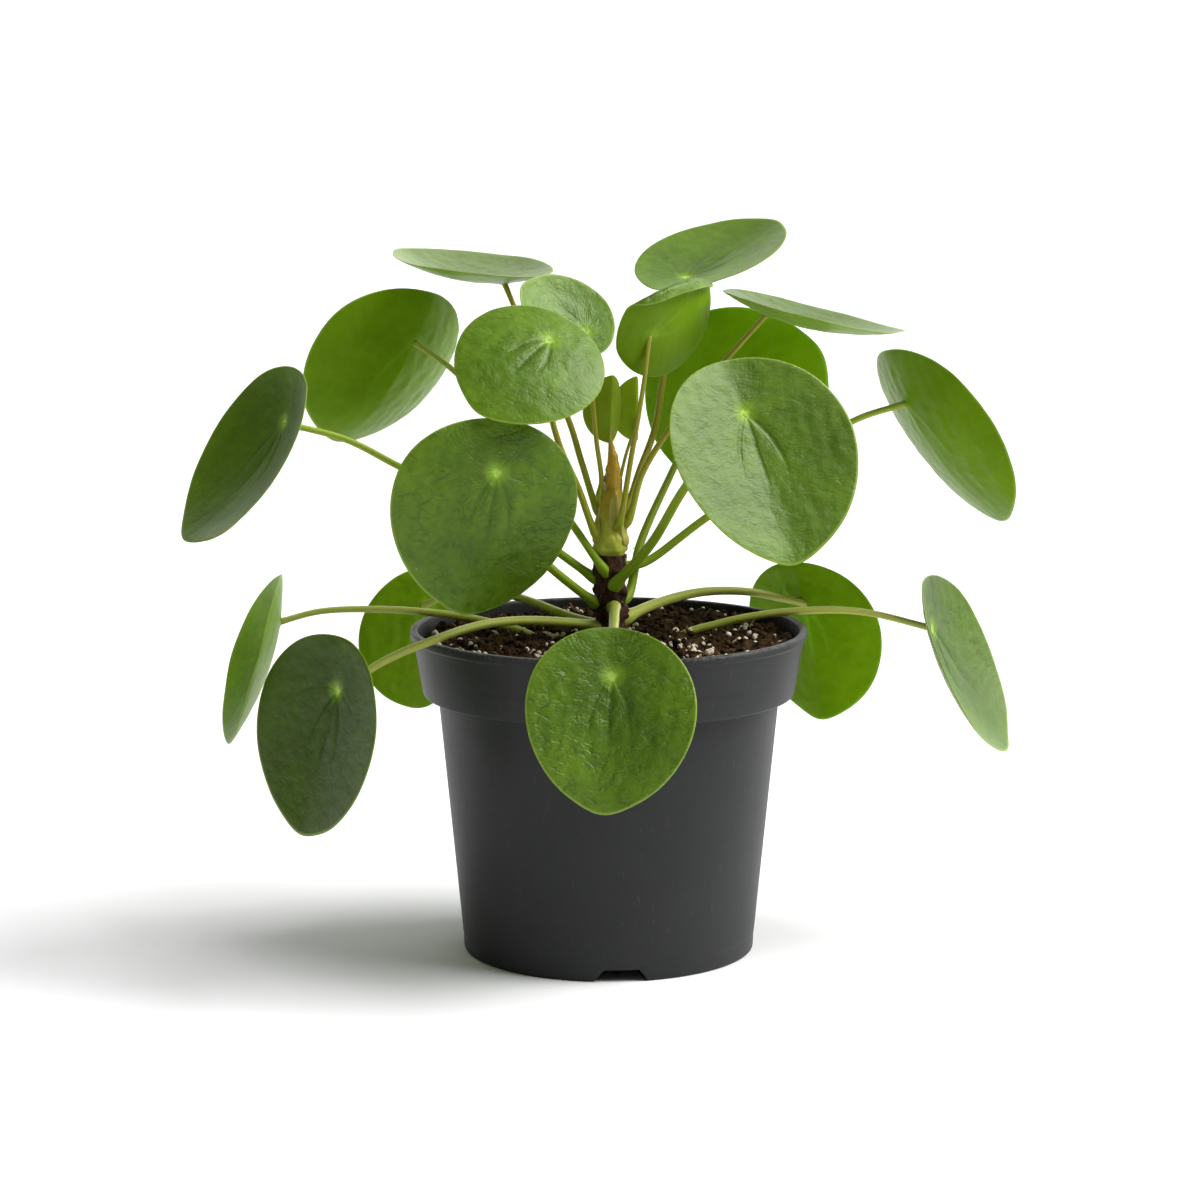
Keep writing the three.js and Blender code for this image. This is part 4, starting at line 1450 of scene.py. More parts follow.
@dataclass
class Stem:
    """The woody trunk, the green shoot on it, the bud at its tip, and the papery sheaths round them."""

    trunk: tuple[Station, ...] = (
        Station(70, 3.84), Station(90, 4.56), Station(97, 4.99), Station(99.5, 4.46), Station(103.5, 5.09),
        Station(106, 4.51), Station(109.5, 5.18), Station(112, 4.61), Station(115.5, 5.28),
        Station(118, 4.7), Station(120.5, 4.9),
    )
    shoot: tuple[Station, ...] = (
        Station(120.2, 4.3), Station(122.5, 5.4), Station(125, 5.3, 0.6, 1.8), Station(127.5, 4.6, 0.6, 1.7),
        Station(130, 4.4, 0.7, 1.6), Station(133.5, 3.8, 0.8, 1.4), Station(137, 3.3, 0.9, 1.2),
        Station(140.4, 2.6, 1.0, 1.0),
    )
    bud: tuple[Station, ...] = (
        Station(139.5, 2.1, 1.0, 1.0), Station(142, 2.5, 1.0, 1.0), Station(146, 2.3, 1.1, 0.9),
        Station(150, 1.5, 1.1, 0.8), Station(153, 0.8, 1.1, 0.6), Station(155, 0.2, 1.0, 0.5),
    )
    sheaths: tuple[Sheath, ...] = (
        Sheath(-20, 123.0, 12.0, 5.0, 0.3), Sheath(205, 124.0, 9.0, 4.0, 0.6),
        Sheath(-75, 130.0, 9.5, 3.6, 0.25), Sheath(150, 131.0, 9.0, 3.4, 0.6),
        Sheath(195, 137.0, 7.5, 2.8, 0.5), Sheath(20, 136.0, 8.0, 3.0, 0.3),
        Sheath(188, 111.5, 4.5, 1.4, 2.4), Sheath(-8, 118.0, 5.0, 1.5, 2.0),
    )
    sides: int = 96
    row_gap: float = 0.3
    fewest_rows: int = 24
    sheath_rows: int = 14
    sheath_sides: int = 20
    sheath_half: float = 0.14
    sheath_gap: float = 0.25

    def smooth_line(self, stations: Sequence[Station], heights: Array) -> tuple[Array, Array, Array]:
        """Radius and axis at many heights, eased between the stations.

        Each value runs from one station to the next along half a cosine wave.

        Args:
            stations: from low to high.
            heights: where to read them.

        Returns:
            Radius, x and y at each height.
        """
        levels = np.array([s.z for s in stations])
        index = np.clip(np.searchsorted(levels, heights, side="right") - 1, 0, len(levels) - 2)
        share = np.clip((heights - levels[index]) / (levels[index + 1] - levels[index]), 0, 1)
        eased = (1 - np.cos(np.pi * share)) / 2
        table = np.array([[s.radius, s.x, s.y] for s in stations])
        values = table[index] + (table[index + 1] - table[index]) * eased[:, None]
        return values[:, 0], values[:, 1], values[:, 2]

    def turned(self, name: str, stations: Sequence[Station], relief: tuple[tuple[float, float], ...],
               finish: bpy.types.Material, seed: int) -> bpy.types.Object:
        """A round piece on the stem's axis, roughened by noise of several sizes.

        Args:
            name: the piece's name.
            stations: its outline.
            relief: sizes of the noise and how deep each is, in mm.
            finish: its material.
            seed: for the noise.

        Returns:
            The finished piece.
        """
        low, high = stations[0].z, stations[-1].z
        heights = np.linspace(low, high, max(int((high - low) / self.row_gap), self.fewest_rows))
        heights = np.concatenate([[low], heights, [high]])
        radius, x, y = (value[:, None] for value in self.smooth_line(stations, heights))
        angles = ring_angles(self.sides)
        rows = np.stack([x + radius * np.cos(angles), y + radius * np.sin(angles),
                         np.broadcast_to(heights[:, None], (len(heights), self.sides))], -1)
        swell = sum(depth * wave_noise(rows * (1, 1, 0.7), size, seed + number)
                    for number, (size, depth) in enumerate(relief))
        ends = smoothstep(0, 1.0, np.minimum(heights - low, high - heights))[:, None]
        grown = radius + swell * (0.2 + 0.8 * ends)
        rows[..., 0] = x + grown * np.cos(angles)
        rows[..., 1] = y + grown * np.sin(angles)
        return closed_skin(name, rows, [finish])

    def sheath_piece(self, finish: bpy.types.Material) -> bpy.types.Object:
        """The pointed papery sheaths that wrap the stem, as one piece.

        Each is a thin closed sheet. Its width falls from the foot to a point as the root of one less the
        share of its height squared. It follows the stem's roundness, and leans out as the height squared.

        Args:
            finish: their material.

        Returns:
            The finished piece.
        """
        stations = (*self.trunk[:-1], *self.shoot)
        rises = np.linspace(0, 1, self.sheath_rows)
        around = ring_angles(self.sheath_sides)
        parts = []
        for sheath in self.sheaths:
            heights = sheath.foot + sheath.length * rises
            radius, x, y = self.smooth_line(stations, np.minimum(heights, self.shoot[-1].z))
            half_width = (0.5 * sheath.width * np.sqrt(np.clip(1 - rises**2, 0, 1)) + 0.02)[:, None]
            side = half_width * np.cos(around)
            thick = self.sheath_half * np.sin(around)
            out = radius[:, None] + self.sheath_gap + sheath.lean * rises[:, None] ** 2 + thick
            angle = math.radians(sheath.heading) + side / np.maximum(radius[:, None], 2.5)
            parts.append(np.stack([x[:, None] + out * np.cos(angle), y[:, None] + out * np.sin(angle),
                                   np.broadcast_to(heights[:, None], out.shape)], -1))
        pieces = [closed_skin(f"sheath_{number}", part, [finish]) for number, part in enumerate(parts)]
        return joined("papery_sheaths", pieces)

    def build(self, bark: bpy.types.Material, skin: bpy.types.Material,
              paper: bpy.types.Material) -> dict[str, bpy.types.Object]:
        """All pieces of the stem.

        Args:
            bark: the trunk's material.
            skin: the shoot's and the bud's material.
            paper: the sheaths' material.

        Returns:
            The pieces, by the solid that each stands for; the sheaths under "sheaths".
        """
        return {
            "trunk": self.turned("woody_trunk", self.trunk, ((6.0, 0.22), (2.2, 0.20), (0.9, 0.10)),
                                 bark, 51),
            "shoot": self.turned("green_shoot", self.shoot, ((5.0, 0.16), (2.0, 0.06)), skin, 61),
            "bud": self.turned("leaf_bud", self.bud, ((3.0, 0.14), (1.2, 0.05)), skin, 71),
            "sheaths": self.sheath_piece(paper),
        }


def joined(name: str, pieces: Sequence[bpy.types.Object]) -> bpy.types.Object:
    """Several objects made into one, with the first one's materials.

    Args:
        name: the new piece's name.
        pieces: the objects, which are removed.

    Returns:
        The joined object.
    """
    points, faces, start = [], [], 0
    for piece in pieces:
        mesh = piece.data
        places = np.empty(len(mesh.vertices) * 3)
        mesh.vertices.foreach_get("co", places)
        points.append(places.reshape(-1, 3))
        faces += [[start + corner for corner in polygon.vertices] for polygon in mesh.polygons]
        start += len(mesh.vertices)
    mesh = bpy.data.meshes.new(name)
    mesh.from_pydata(np.concatenate(points).tolist(), [], faces)
    for finish in pieces[0].data.materials:
        mesh.materials.append(finish)
    for piece in pieces:
        bpy.data.objects.remove(piece)
    return put_in_scene(name, mesh)


@dataclass(frozen=True)
class Crease:
    """A flap bent over along a bowed line across a blade.

    Attributes:
        direction: where the flap lies, in degrees from the tip.
        start: where its line crosses that direction, as a share of the half length.
        bow: how strongly the line's ends curve back, as a share of the half length.
        left: the share of the flap's width that is left.
        bend: how far it is bent in degrees, negative towards the underside.
        radius: the bend's radius in mm.
    """

    direction: float
    start: float
    bow: float
    left: float
    bend: float
    radius: float = 1.2

    def laid(self, half: float, along: Array, across: Array) -> tuple[Array, Array, Array, Array]:
        """Where a crease takes points of the flat disc.

        The distance past the line is shortened to what is left of it, and runs along an arc of the
        bend's radius, then straight on at the bend's angle.

        Args:
            half: half the blade's length.
            along: towards the tip, from the disc's middle.
            across: from the midrib.

        Returns:
            The distance past the line, the reach and the rise beyond it, and the flap's heading.
        """
        heading, limit = math.radians(self.direction), math.radians(abs(self.bend))
        beside = across * math.cos(heading) - along * math.sin(heading)
        out = along * math.cos(heading) + across * math.sin(heading)
        past = np.maximum(out - self.start * half + self.bow * beside**2 / half, 0)
        run = self.left * past
        angle = np.minimum(run / self.radius, limit)
        rest = np.maximum(run - self.radius * limit, 0)
        reach = self.radius * np.sin(angle) + rest * np.cos(angle)
        rise = math.copysign(1, self.bend) * (self.radius * (1 - np.cos(angle)) + rest * np.sin(angle))
        return past, reach, rise, np.array([math.cos(heading), math.sin(heading)])


@dataclass(frozen=True)
class Leaf:
    """One leaf: a round blade carried off-centre on a stalk.

    Attributes:
        name: the leaf's name in the solids.
        seat: where the stalk meets the blade, in mm.
        size: the blade's length from end to end.
        azimuth: the heading that the blade's upper side faces, in degrees from +X towards +Y.
        elevation: how far that side is turned up, in degrees.
        turn: how far the tip is swung from straight down the slope, in degrees.
        cup: how far the rim rises, in mm; a negative cup droops.
        fold: how far the two halves are raised along the midrib, in degrees.
        root: the stalk's diameter at its foot.
        end: the stalk's diameter at the blade.
        route: the stalk's line, from where it leaves the stem.
        stalk: the stalk's colouring.
        width: the blade's width as a share of its length.
        egg: how much broader the blade is at its stalk end.
        soft: how wide the fold is rounded, as a share of the half length.
        crease: a flap bent over, if it has one.
        from_soil: the stalk comes up out of the soil.
        tone_and_painted_light: how light its upper side and underside are against the usual blade, partly
            painted backlight and shade.
        painted_sheen: how much pale sheen is painted on the upper side, 0 to 1, for the bright wall reflected
            at a grazing view.
        quilted: how strongly that side is quilted and creased, 1 for the usual blade.
        young: the blade is a young one, browner and stiffer.
    """

    name: str
    seat: Place
    size: float
    azimuth: float
    elevation: float
    turn: float
    cup: float
    fold: float
    root: float
    end: float
    route: tuple[Place, ...]
    stalk: StalkTone
    width: float = 0.97
    egg: float = 0.08
    soft: float = 0.12
    crease: Crease | None = None
    from_soil: bool = False
    tone_and_painted_light: tuple[float, float] = (1.0, 1.0)
    painted_sheen: float = 0.0
    quilted: float = 1.0
    young: bool = False

    # the blade's outline and bowl, as shares of its half length
    seat_share = 0.46
    tip_length = 0.05
    tip_spread = 0.3
    cup_shift = 0.2
    cup_level = 0.26

    # the blade's relief and thickness, in mm
    thickness = 0.5
    thin_rim = 0.45
    rim_round = 0.12
    broad_quilt = 0.060
    fine_quilt = 0.025
    dimple_depth = 0.55
    dimple_radius = 2.4
    groove_depth = 0.30
    ridge_depth = 0.10
    full_relief_size = 50.0
    wave_size = 55.0
    noise_gap = 31.0

    # the stalk, in mm and shares
    stem_axis = (0.6, 1.8)
    root_depth = 3.0
    root_start = 0.3
    foot_swell = 0.40
    swell_at = 4.0
    swell_reach = 3.0
    head_flare = 0.30
    flare_reach = 2.2
    ovalness = 0.05
    pressed_from = 0.85
    under_seat = 0.45

    # how finely the meshes are divided
    rings = 44
    ring_crowding = 0.92
    sides = 144
    stalk_steps = 72
    stalk_sides = 20
    curve_points = 40

    def number(self) -> int:
        """The leaf's number, which seeds its noise."""
        return int(self.name[-2:])

    def axes(self) -> Array:
        """The leaf's own directions as rows: to its tip, to its left, and out of its upper side."""
        around, up, swing = np.radians([self.azimuth, self.elevation, self.turn])
        upper = np.array([np.cos(up) * np.cos(around), np.cos(up) * np.sin(around), np.sin(up)])
        down = unit(np.array([0, 0, -1.0]) + upper * upper[2])
        tip = down * np.cos(swing) + np.cross(upper, down) * np.sin(swing)
        return np.array([tip, np.cross(upper, tip), upper])

    def folded(self, share: Array, angle: Array) -> tuple[Array, Array, Array]:
        """The blade's middle surface in the leaf's own frame, from the seat.

        A disc whose rim is half * (cos a + point) along and half * width * sin a * (1 - egg * cos a)
        across is filled by rings that shrink to the seat. It is raised by the cup, a paraboloid round a
        point near the seat, and by the fold, which turns each half up about the midrib. What lies past a
        crease is first drawn back to it, takes the height there, and is laid out along the bend.

        Args:
            share: 0 at the seat, 1 on the rim.
            angle: 0 towards the tip, in radians.

        Returns:
            Distance to the tip's side, distance from the midrib, and height, in mm.
        """
        half = self.size / 2
        seat = -self.seat_share * half
        rim_along = half * (np.cos(angle) + self.tip_length * np.exp(-((angle / self.tip_spread) ** 2)))
        rim_across = half * self.width * np.sin(angle) * (1 - self.egg * np.cos(angle))
        along = seat + share * (rim_along - seat)
        across = share * rim_across
        past, reach, rise, heading = np.zeros_like(along), 0.0, 0.0, (0.0, 0.0)
        if self.crease:
            past, reach, rise, heading = self.crease.laid(half, along, across)
        along, across = along - past * heading[0], across - past * heading[1]
        raised, rounding = math.radians(self.fold), self.soft * half
        bowl = ((along + self.cup_shift * half) ** 2 + across**2) / half**2 - self.cup_level**2
        height = self.cup * bowl
        height = height + math.sin(raised) * (np.hypot(across, rounding) - rounding) + rise
        across = across * math.cos(raised) + reach * heading[1]
        return along + reach * heading[0] - seat, across, height

    def build_blade(self, upper: bpy.types.Material, under: bpy.types.Material) -> bpy.types.Object:
        """The blade: both sides of the middle surface, with its relief, joined round a rounded rim.

        The relief is a dimple over the seat, grooves along the veins above and ridges below, a soft
        quilting, and a faint wave of the rim, all measured along the surface's normal.

        Args:
            upper: the upper side's material.
            under: the underside's material.

        Returns:
            The finished blade.
        """
        shares = np.linspace(0, 1, self.rings) ** self.ring_crowding
        share, angle = np.meshgrid(shares, ring_angles(self.sides), indexing="ij")
        flat_along, flat_across = self.flat_place(share, angle)
        along, across, height = self.folded(share, angle)
        number = self.number()
        phase = 1.7 * number
        wave = 0.12 * np.sin(5 * angle + phase) + 0.06 * np.sin(9 * angle + 2.3 * phase)
        height = height + self.size / self.wave_size * wave * share**7
        middle = np.stack([along, across, height], -1)
        normal = grid_normals(middle)
        radius = np.hypot(flat_along, flat_across)
        places = np.stack([flat_along, flat_across, np.full_like(radius, self.noise_gap * number)], -1)
        quilt = self.broad_quilt * wave_noise(places, size=6.0, seed=7, waves=36)
        quilt = quilt + self.fine_quilt * wave_noise(places * (1, 0.6, 1), size=2.6, seed=8, waves=36)
        calm = smoothstep(0.5, 5.0, radius) * (1 - 0.6 * smoothstep(0.9, 1.0, share))
        veins = vein_height(flat_along, flat_across, self.size / 2)
        scale = min(self.size / self.full_relief_size, 1.0)
        dimple = self.dimple_depth * scale * np.exp(-((radius / self.dimple_radius) ** 2))
        shared = self.quilted * quilt * calm * scale - dimple
        half_thick = self.thickness / 2 * (1 - self.thin_rim * share**30)
        above = shared - self.groove_depth * veins * scale + half_thick
        below = shared - self.ridge_depth * veins * scale - half_thick
        outward = unit(middle[-1] - middle[-2])
        edge = middle[-1] + normal[-1] * ((above[-1] + below[-1]) / 2)[:, None] + self.rim_round * outward
        rows = np.concatenate([
            middle + normal * above[..., None],
            edge[None],
            (middle + normal * below[..., None])[::-1],
        ])
        rows = self.seat + rows @ self.axes()
        own = np.stack([flat_along, flat_across, share], -1)
        facts = {
            "leaf_place": np.concatenate([own, own[-1:], own[::-1]]),
            "half_length": np.full(rows.shape[:2], self.size / 2),
            "tone": np.full(rows.shape[:2], self.tone_and_painted_light[0]),
            "painted_sheen": np.full(rows.shape[:2], self.painted_sheen),
            "quilted": np.full(rows.shape[:2], self.quilted),
        }
        facts["tone"][self.rings + 1 :] = self.tone_and_painted_light[1]
        slots = np.zeros(len(rows) - 1)
        slots[self.rings + 1 :] = 1
        return closed_skin(f"{self.name}_fine_blade", rows[::-1], [upper, under], slots[::-1],
                           {key: value[::-1] for key, value in facts.items()})

    def flat_place(self, share: Array, angle: Array) -> tuple[Array, Array]:
        """Where points of the blade lie on the flat disc: towards the tip and across, from the seat."""
        half = self.size / 2
        seat = -self.seat_share * half
        return share * (half * np.cos(angle) - seat), share * half * self.width * np.sin(angle)

    def stalk_line(self) -> tuple[Array, Array]:
        """The stalk's centre line: a centripetal Catmull-Rom curve through its route.

        Returns:
            Points in mm at even steps along it, and the distance of each from the foot.
        """
        points = [np.array(place, float) for place in self.route]
        if not self.from_soil:
            start = points[0]
            axis = np.array([*self.stem_axis, start[2] - self.root_depth])
            points.insert(0, axis + self.root_start * (start - axis))
        points.append(np.array(self.seat, float))
        padded = np.array([2 * points[0] - points[1], *points, 2 * points[-1] - points[-2]])
        spans = np.sqrt(np.linalg.norm(np.diff(padded, axis=0), axis=1))
        share = np.linspace(0, 1, self.curve_points)[:, None]
        pieces = []
        for index in range(1, len(padded) - 2):
            p0, p1, p2, p3 = padded[index - 1 : index + 3]
            d0, d1, d2 = spans[index - 1 : index + 2]
            out = ((p1 - p0) / d0 - (p2 - p0) / (d0 + d1) + (p2 - p1) / d1) * d1
            into = ((p2 - p1) / d1 - (p3 - p1) / (d1 + d2) + (p3 - p2) / d2) * d1
            pieces.append((2 * share**3 - 3 * share**2 + 1) * p1 + (share**3 - 2 * share**2 + share) * out
                          + (3 * share**2 - 2 * share**3) * p2 + (share**3 - share**2) * into)
        line = np.concatenate([pieces[0], *[piece[1:] for piece in pieces[1:]]])
        run = np.concatenate([[0], np.cumsum(np.linalg.norm(np.diff(line, axis=0), axis=1))])
        even = np.linspace(0, run[-1], self.stalk_steps)
        return np.stack([np.interp(even, run, line[:, axis]) for axis in range(3)], -1), even

    def build_stalk(self, finish: bpy.types.Material) -> bpy.types.Object:
        """The stalk: a tapering tube on its line, flared at its foot and where it enters the blade.

        Rings stand square to the line, on two directions made from the line's own direction and one
        fixed vector. Near the blade every point is pressed under the blade's middle surface.

        Args:
            finish: the stalk's material.

        Returns:
            The finished stalk.
        """
        centres, run = self.stalk_line()
        length = run[-1]
        along = unit(np.gradient(centres, axis=0))
        fixed = self.axes()[1]
        first = unit(np.cross(along, fixed))
        second = np.cross(along, first)
        share = (run / length)[:, None]
        radius = 0.5 * (self.root + (self.end - self.root) * share)
        swell = np.exp(-((run - self.swell_at) / self.swell_reach) ** 2)[:, None]
        radius = radius * (1 + self.foot_swell * swell)
        radius = radius * (1 + self.head_flare * np.exp(-((length - run) / self.flare_reach))[:, None])
        angles = ring_angles(self.stalk_sides)
        radius = radius * (1 + self.ovalness * np.cos(2 * angles + self.number()))
        rows = centres[:, None] + (radius * np.cos(angles))[..., None] * first[:, None]
        rows = rows + (radius * np.sin(angles))[..., None] * second[:, None]
        upper = self.axes()[2]
        over = (rows - self.seat) @ upper + self.under_seat
        pressed = np.where((share > self.pressed_from) & (over > 0), over, 0)
        rows = rows - pressed[..., None] * upper
        rows = np.concatenate([rows[:1], rows, rows[-1:]])
        runs = np.concatenate([share[:1], share, share[-1:]])
        facts = {
            "run": np.broadcast_to(runs, rows.shape[:2]),
            "around": np.broadcast_to(np.abs(angles), rows.shape[:2]),
        }
        return closed_skin(f"{self.name}_fine_stalk", rows, [finish], None, facts)


def grid_normals(points: Array) -> Array:
    """Unit normals of a polar grid, pointing out of its upper side.

    They are the cross product of the differences outward and round. The middle takes its ring's mean.

    Args:
        points: rings by points by xyz, the first ring all at the middle.

    Returns:
        Normals, in the same layout.
    """
    outward = np.gradient(points, axis=0)
    around = np.roll(points, -1, axis=1) - np.roll(points, 1, axis=1)
    normals = unit(np.cross(outward, around))
    normals[0] = unit(normals[1].mean(0))
    return normals


PALE, GREEN, OLIVE = StalkTone.PALE, StalkTone.GREEN, StalkTone.OLIVE

LEAVES = (
    Leaf("leaf_01", (-95.5, -20, 162.5), 58.5, -151, 27.5, -14, 6, 2, 2.6, 1.8,
         ((-4, 2, 113), (-32.5, -6, 134), (-61, -14, 148.5), (-77.5, -18, 157.5)), GREEN, width=0.95,
         tone_and_painted_light=(1.18, 1.1), quilted=0.5),
    Leaf("leaf_02", (-60, 28, 182.5), 57, 126, 25.5, 14, 8, 10, 2.6, 1.8,
         ((-1.5, -3, 116.5), (-11, 3, 129.5), (-27, 13, 151), (-47, 25, 173.5)), GREEN, width=0.94,
         tone_and_painted_light=(1.15, 1.15)),
    Leaf("leaf_03", (-32, 26, 201), 49.5, -59, 86.5, -148, 5, 2, 2.2, 1.6,
         ((-3, 4, 133), (-8, 8, 147), (-12.5, 12, 161), (-29, 24, 194)), OLIVE,
         tone_and_painted_light=(1.1, 1.0), painted_sheen=0.20, quilted=0.6),
    Leaf("leaf_04", (-7, 7, 187.5), 31, -61, 41, -127, 3, 0, 1.6, 1.2,
         ((-2.8, 0.5, 137.5), (-2.2, 0, 143), (-3.8, -0.8, 156), (-5, 0.5, 169)), OLIVE,
         tone_and_painted_light=(1.52, 1.2), painted_sheen=0.03, quilted=0.8),
    Leaf("leaf_05", (-17, -31, 188), 44.5, -74, 46, -47, -3.5, 0, 2.4, 1.7,
         ((-3.5, 0, 126.5), (-9, -4, 141), (-14.5, -13, 155), (-17.5, -23, 169.5)), OLIVE,
         tone_and_painted_light=(1.24, 1.1), quilted=0.8),
    Leaf("leaf_06", (-32, -48, 151), 57, -67, -4, -8, -5, -2, 3.0, 2.2,
         ((-4, 0, 106), (-17.5, -14, 119), (-26.5, -31, 132)), GREEN, width=1.0, egg=0.13,
         tone_and_painted_light=(1.08, 1.1), quilted=1.2),
    Leaf("leaf_07", (24, 38, 202), 49, -126, 68, 161, 2.5, 5, 2.2, 1.6,
         ((5, 4, 134), (9.5, 9, 145.5), (14, 17, 157), (17, 27, 173)), OLIVE,
         tone_and_painted_light=(1.48, 1.1), painted_sheen=0.05, quilted=0.45),
    Leaf("leaf_08", (12, -9, 187.5), 38.5, 131, 21.5, -124, 5, -15, 2.0, 1.3,
         ((3, -3, 130), (6.5, -4.5, 149.5), (10.5, -7.5, 174)), OLIVE,
         crease=Crease(-60, 0.59, 0.33, 0.75, -140), tone_and_painted_light=(1.2, 0.98)),
    Leaf("leaf_09", (47.5, 8, 192.5), 54.5, -3, 73, 3, 5, 0, 2.2, 1.6,
         ((5.5, 0, 130.5), (10, 1, 145), (18, 2, 158), (34.5, 6, 178)), OLIVE,
         tone_and_painted_light=(0.95, 1.1), painted_sheen=0.09, quilted=0.6),
    Leaf("leaf_10", (27.5, 42, 157), 60, 69, 4, -119, 3, 6, 2.8, 1.8,
         ((6, 8, 107.5), (9.5, 15, 121.5), (19, 30, 141)), GREEN, tone_and_painted_light=(1.1, 1.6)),
    Leaf("leaf_11", (39, -46, 168), 62, -70, 28, 8, 0, 13, 3.0, 2.2,
         ((2, -3, 112), (12.5, -12, 125.5), (22.5, -26, 144.5)), GREEN, width=0.93,
         tone_and_painted_light=(1.02, 1.1), quilted=0.75),
    Leaf("leaf_12", (91, 20, 164.5), 63, 25, 29, -10, 5.5, 6, 2.6, 1.8,
         ((4.5, 6, 116), (11, 9, 117), (29.5, 13, 130), (74, 18, 159)), GREEN, tone_and_painted_light=(1.1, 1.08)),
    Leaf("leaf_13", (99, 10, 96.5), 57, -20, 20.5, 7, 5.5, 5, 2.6, 1.8,
         ((14, 9, 87), (22, 11, 94), (33.5, 12, 97.5), (42, 12, 99.5), (57, 12, 101.5), (77, 11, 101.5)),
         PALE, width=0.94, from_soil=True, tone_and_painted_light=(0.95, 1.1), quilted=0.7),
    Leaf("leaf_14", (62, 46, 98.5), 51.5, 54, 13, -3, -1, 10, 3.3, 2.2,
         ((5.5, 4, 101), (16.5, 18, 103.5), (29.5, 31, 104.5), (43, 38, 103.5), (54, 41, 101)), PALE,
         tone_and_painted_light=(1.1, 1.52)),
    Leaf("leaf_15", (1, -72, 96.5), 51.5, -85, 17, -5, -1.5, 12, 3.2, 2.2,
         ((1.5, -3, 105), (1.5, -25, 103), (1, -50, 103)), PALE, width=0.95, egg=0.1,
         tone_and_painted_light=(1.06, 1.1), quilted=1.3),
    Leaf("leaf_16", (-79, -42, 86.5), 58, -141, 10, -10, 1, 8, 3.1, 2.2,
         ((-3.5, 0, 98.5), (-23.5, -9, 102), (-37.5, -20, 102.5), (-52, -34, 100), (-65, -38, 95)), PALE,
         width=1.04, tone_and_painted_light=(0.70, 1.1), quilted=0.4),
    Leaf("leaf_17", (-100.5, 6, 99), 52.5, -167, 16, 17, 4.5, 9.5, 2.8, 1.8,
         ((-15, 7, 87), (-23, 9, 94), (-38.5, 9, 99), (-54.5, 9, 101.5), (-70, 9, 102.5), (-88, 8, 102)),
         PALE, from_soil=True, tone_and_painted_light=(2.5, 1.12), quilted=0.5),
    Leaf("leaf_18", (-60, 66, 94.5), 47, 122, 8, -5, 1, 0, 2.8, 2.0,
         ((-3.5, 6, 98), (-12, 14, 99.5), (-29, 34, 102.5), (-46, 54, 101.5)), PALE, tone_and_painted_light=(1.1, 1.11)),
    Leaf("leaf_19", (0.5, 3.5, 159.5), 20, 115, 5, 180, 0, 50, 1.2, 1.0,
         ((-0.8, 4.8, 138.5), (0.2, 4.4, 150)), OLIVE, tone_and_painted_light=(1.2, 1.72), young=True),
    Leaf("leaf_20", (8.3, 12, 159), 19, 120, 0, 180, 0, 60, 1.2, 1.0,
         ((2.2, 4.6, 138), (5.2, 8.6, 150)), OLIVE, tone_and_painted_light=(1.2, 2.5), young=True),
)


@dataclass
class Foliage:
    """All leaves, with the finishes that they share."""

    leaves: tuple[Leaf, ...] = LEAVES
    blades: dict[tuple[BladeSide, bool], bpy.types.Material] = field(default_factory=dict)
    stalks: dict[StalkTone, bpy.types.Material] = field(default_factory=dict)

    def mix_finishes(self) -> None:
        """Makes each blade and stalk material once."""
        kinds = [(side, young) for side in BladeSide for young in (False, True)]
        self.blades = {kind: BladeFinish(*kind).build() for kind in kinds}
        self.stalks = {tone: StalkFinish(tone).build() for tone in StalkTone}

    def build(self) -> None:
        """Builds and hangs every blade and stalk."""
        self.mix_finishes()
        for leaf in self.leaves:
            upper = self.blades[BladeSide.UPPER, leaf.young]
            under = self.blades[BladeSide.UNDER, leaf.young]
            report(leaf.build_blade(upper, under), "blade", f"{leaf.name}_blade")
            report(leaf.build_stalk(self.stalks[leaf.stalk]), "stalk", f"{leaf.name}_stalk")


@dataclass(frozen=True)
class WindowLight:
    """A far-off round window: its heading and height in degrees, how wide it looks, and its light."""

    name: str
    heading: float
    height: float
    spread: float
    power: float

    def add(self) -> None:
        """Puts the light in the scene, aimed at the plant."""
        data = bpy.data.lights.new(self.name, "SUN")
        data.angle = math.radians(self.spread)
        data.energy = self.power
        light = bpy.data.objects.new(self.name, data)
        light.rotation_euler = (math.radians(90 - self.height), 0.0, math.radians(self.heading + 90))
        bpy.context.scene.collection.objects.link(light)


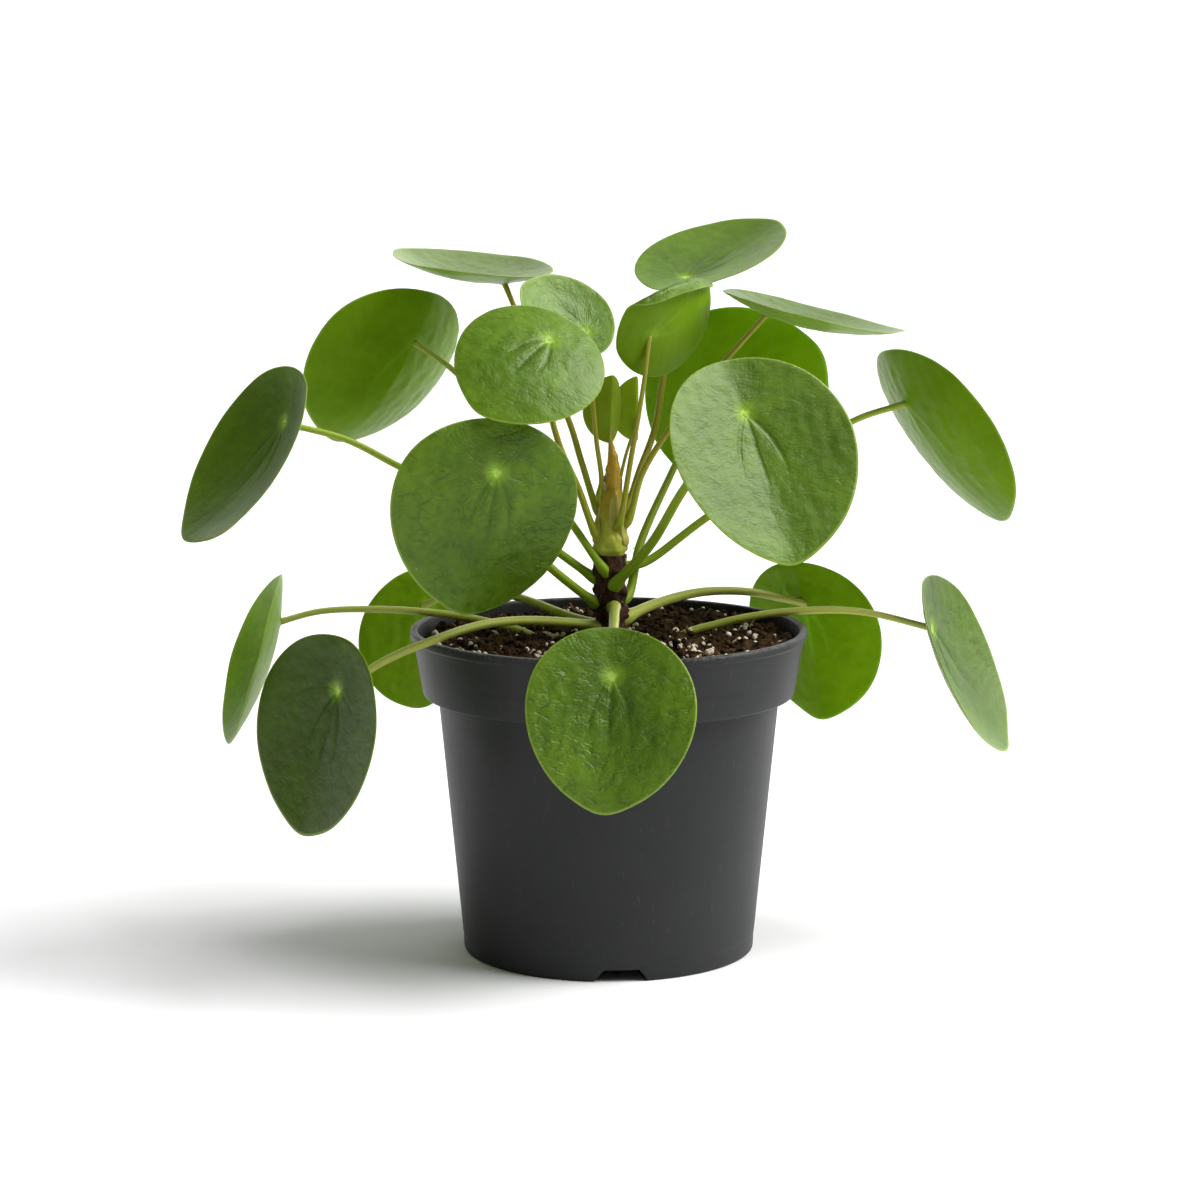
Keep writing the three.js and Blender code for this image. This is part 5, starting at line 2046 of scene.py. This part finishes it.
@dataclass
class Studio:
    """A white room with a large bright window on the right, and the photograph's camera."""

    camera_place: Place = (0.0, -994.3, 264.3)
    pitch_down: float = 9.0
    swing_left: float = 0.152
    lens: float = 100.0
    sensor: float = 36.0
    floor_half: float = 30000.0
    wall_light: float = 2.10
    ceiling_light: float = 0.32
    room_light: float = 0.02
    windows: tuple[WindowLight, ...] = (
        WindowLight("window", heading=-4, height=46, spread=48, power=4.5),
        WindowLight("window_core", heading=0, height=46, spread=20, power=0.5),
    )

    def add_camera(self) -> None:
        """The camera, as worked out from the pot's ellipses."""
        data = bpy.data.cameras.new("camera")
        data.lens = self.lens
        data.sensor_width = self.sensor
        data.clip_end = 100.0
        camera = bpy.data.objects.new("camera", data)
        camera.location = [part * MM for part in self.camera_place]
        camera.rotation_euler = (math.radians(90 - self.pitch_down), 0.0, math.radians(self.swing_left))
        bpy.context.scene.collection.objects.link(camera)
        bpy.context.scene.camera = camera

    def add_floor(self) -> None:
        """A plain white floor, a large square round the origin."""
        graph = Graph("white_floor")
        tone = graph.noise(graph.place(), size=0.9, detail=1)
        white = graph.ramp(tone, (0.0, (0.89, 0.89, 0.89)), (1.0, (0.91, 0.91, 0.91)))
        graph.set(Base_Color=white, Roughness=0.9, Specular_IOR_Level=0.1)
        reach = self.floor_half * MM
        mesh = bpy.data.meshes.new("floor")
        corners = [(-reach, -reach, 0), (reach, -reach, 0), (reach, reach, 0), (-reach, reach, 0)]
        mesh.from_pydata(corners, [], [(0, 1, 2, 3)])
        mesh.materials.append(graph.material)
        floor = put_in_scene("floor", mesh)

    def add_world(self) -> None:
        """A white room: a lit wall behind the plant, a dim ceiling, and darkness at the left and in front.

        The wall is brightest low on the far side, and fades upwards and far to the left; the ceiling's
        light rises with the upward part of the direction, and more so on the right.
        """
        world = bpy.data.worlds.new("white_room")
        world.use_nodes = True
        tree = world.node_tree
        background = tree.nodes["Background"]
        background.inputs["Color"].default_value = (1.0, 1.0, 1.0, 1.0)
        nodes = Nodes(tree)
        x, y, z = nodes.parts(nodes.add("TexCoord").outputs["Generated"])
        behind = nodes.times(nodes.step(y, 0.0, 0.5), nodes.step(x, -0.75, -0.40))
        wall = nodes.times(nodes.eased(z, 0.20, 0.85, self.wall_light, 0.0), behind)
        ceiling = nodes.times(nodes.eased(z, 0.15, 0.90, self.room_light, self.ceiling_light),
                              nodes.eased(x, -0.8, 0.8, 0.5, 1.5))
        nodes.feed(background.inputs["Strength"], nodes.plus(wall, ceiling))
        bpy.context.scene.world = world

    def build(self) -> None:
        """Sets up camera, floor and light."""
        bpy.context.scene.view_settings.view_transform = "Standard"
        self.add_camera()
        self.add_floor()
        self.add_world()
        for window in self.windows:
            window.add()


def main() -> None:
    """Builds the studio and then every sub-assembly, and reports each piece."""
    logging.basicConfig(level=logging.INFO, format="%(name)s: %(message)s")
    Studio().build()
    pot = Pot()
    report(pot.build(PotPlastic().build()), "pot_plastic", "pot")
    mix = {grain: MixFinish(grain).build() for grain in Grain}
    soil = Soil(pot)
    report(soil.build(mix[Grain.PEAT]), "soil_mix", "soil")
    for crumbs in soil.crumb_pieces(mix):
        report(crumbs, "soil_mix")
    stem = Stem().build(BarkFinish().build(), ShootFinish().build(), SheathFinish().build())
    report(stem["trunk"], "bark", "trunk")
    report(stem["shoot"], "shoot_skin", "shoot")
    report(stem["bud"], "bud_sheath", "bud")
    report(stem["sheaths"], "bud_sheath")
    Foliage().build()


if __name__ == "__main__":
    main()
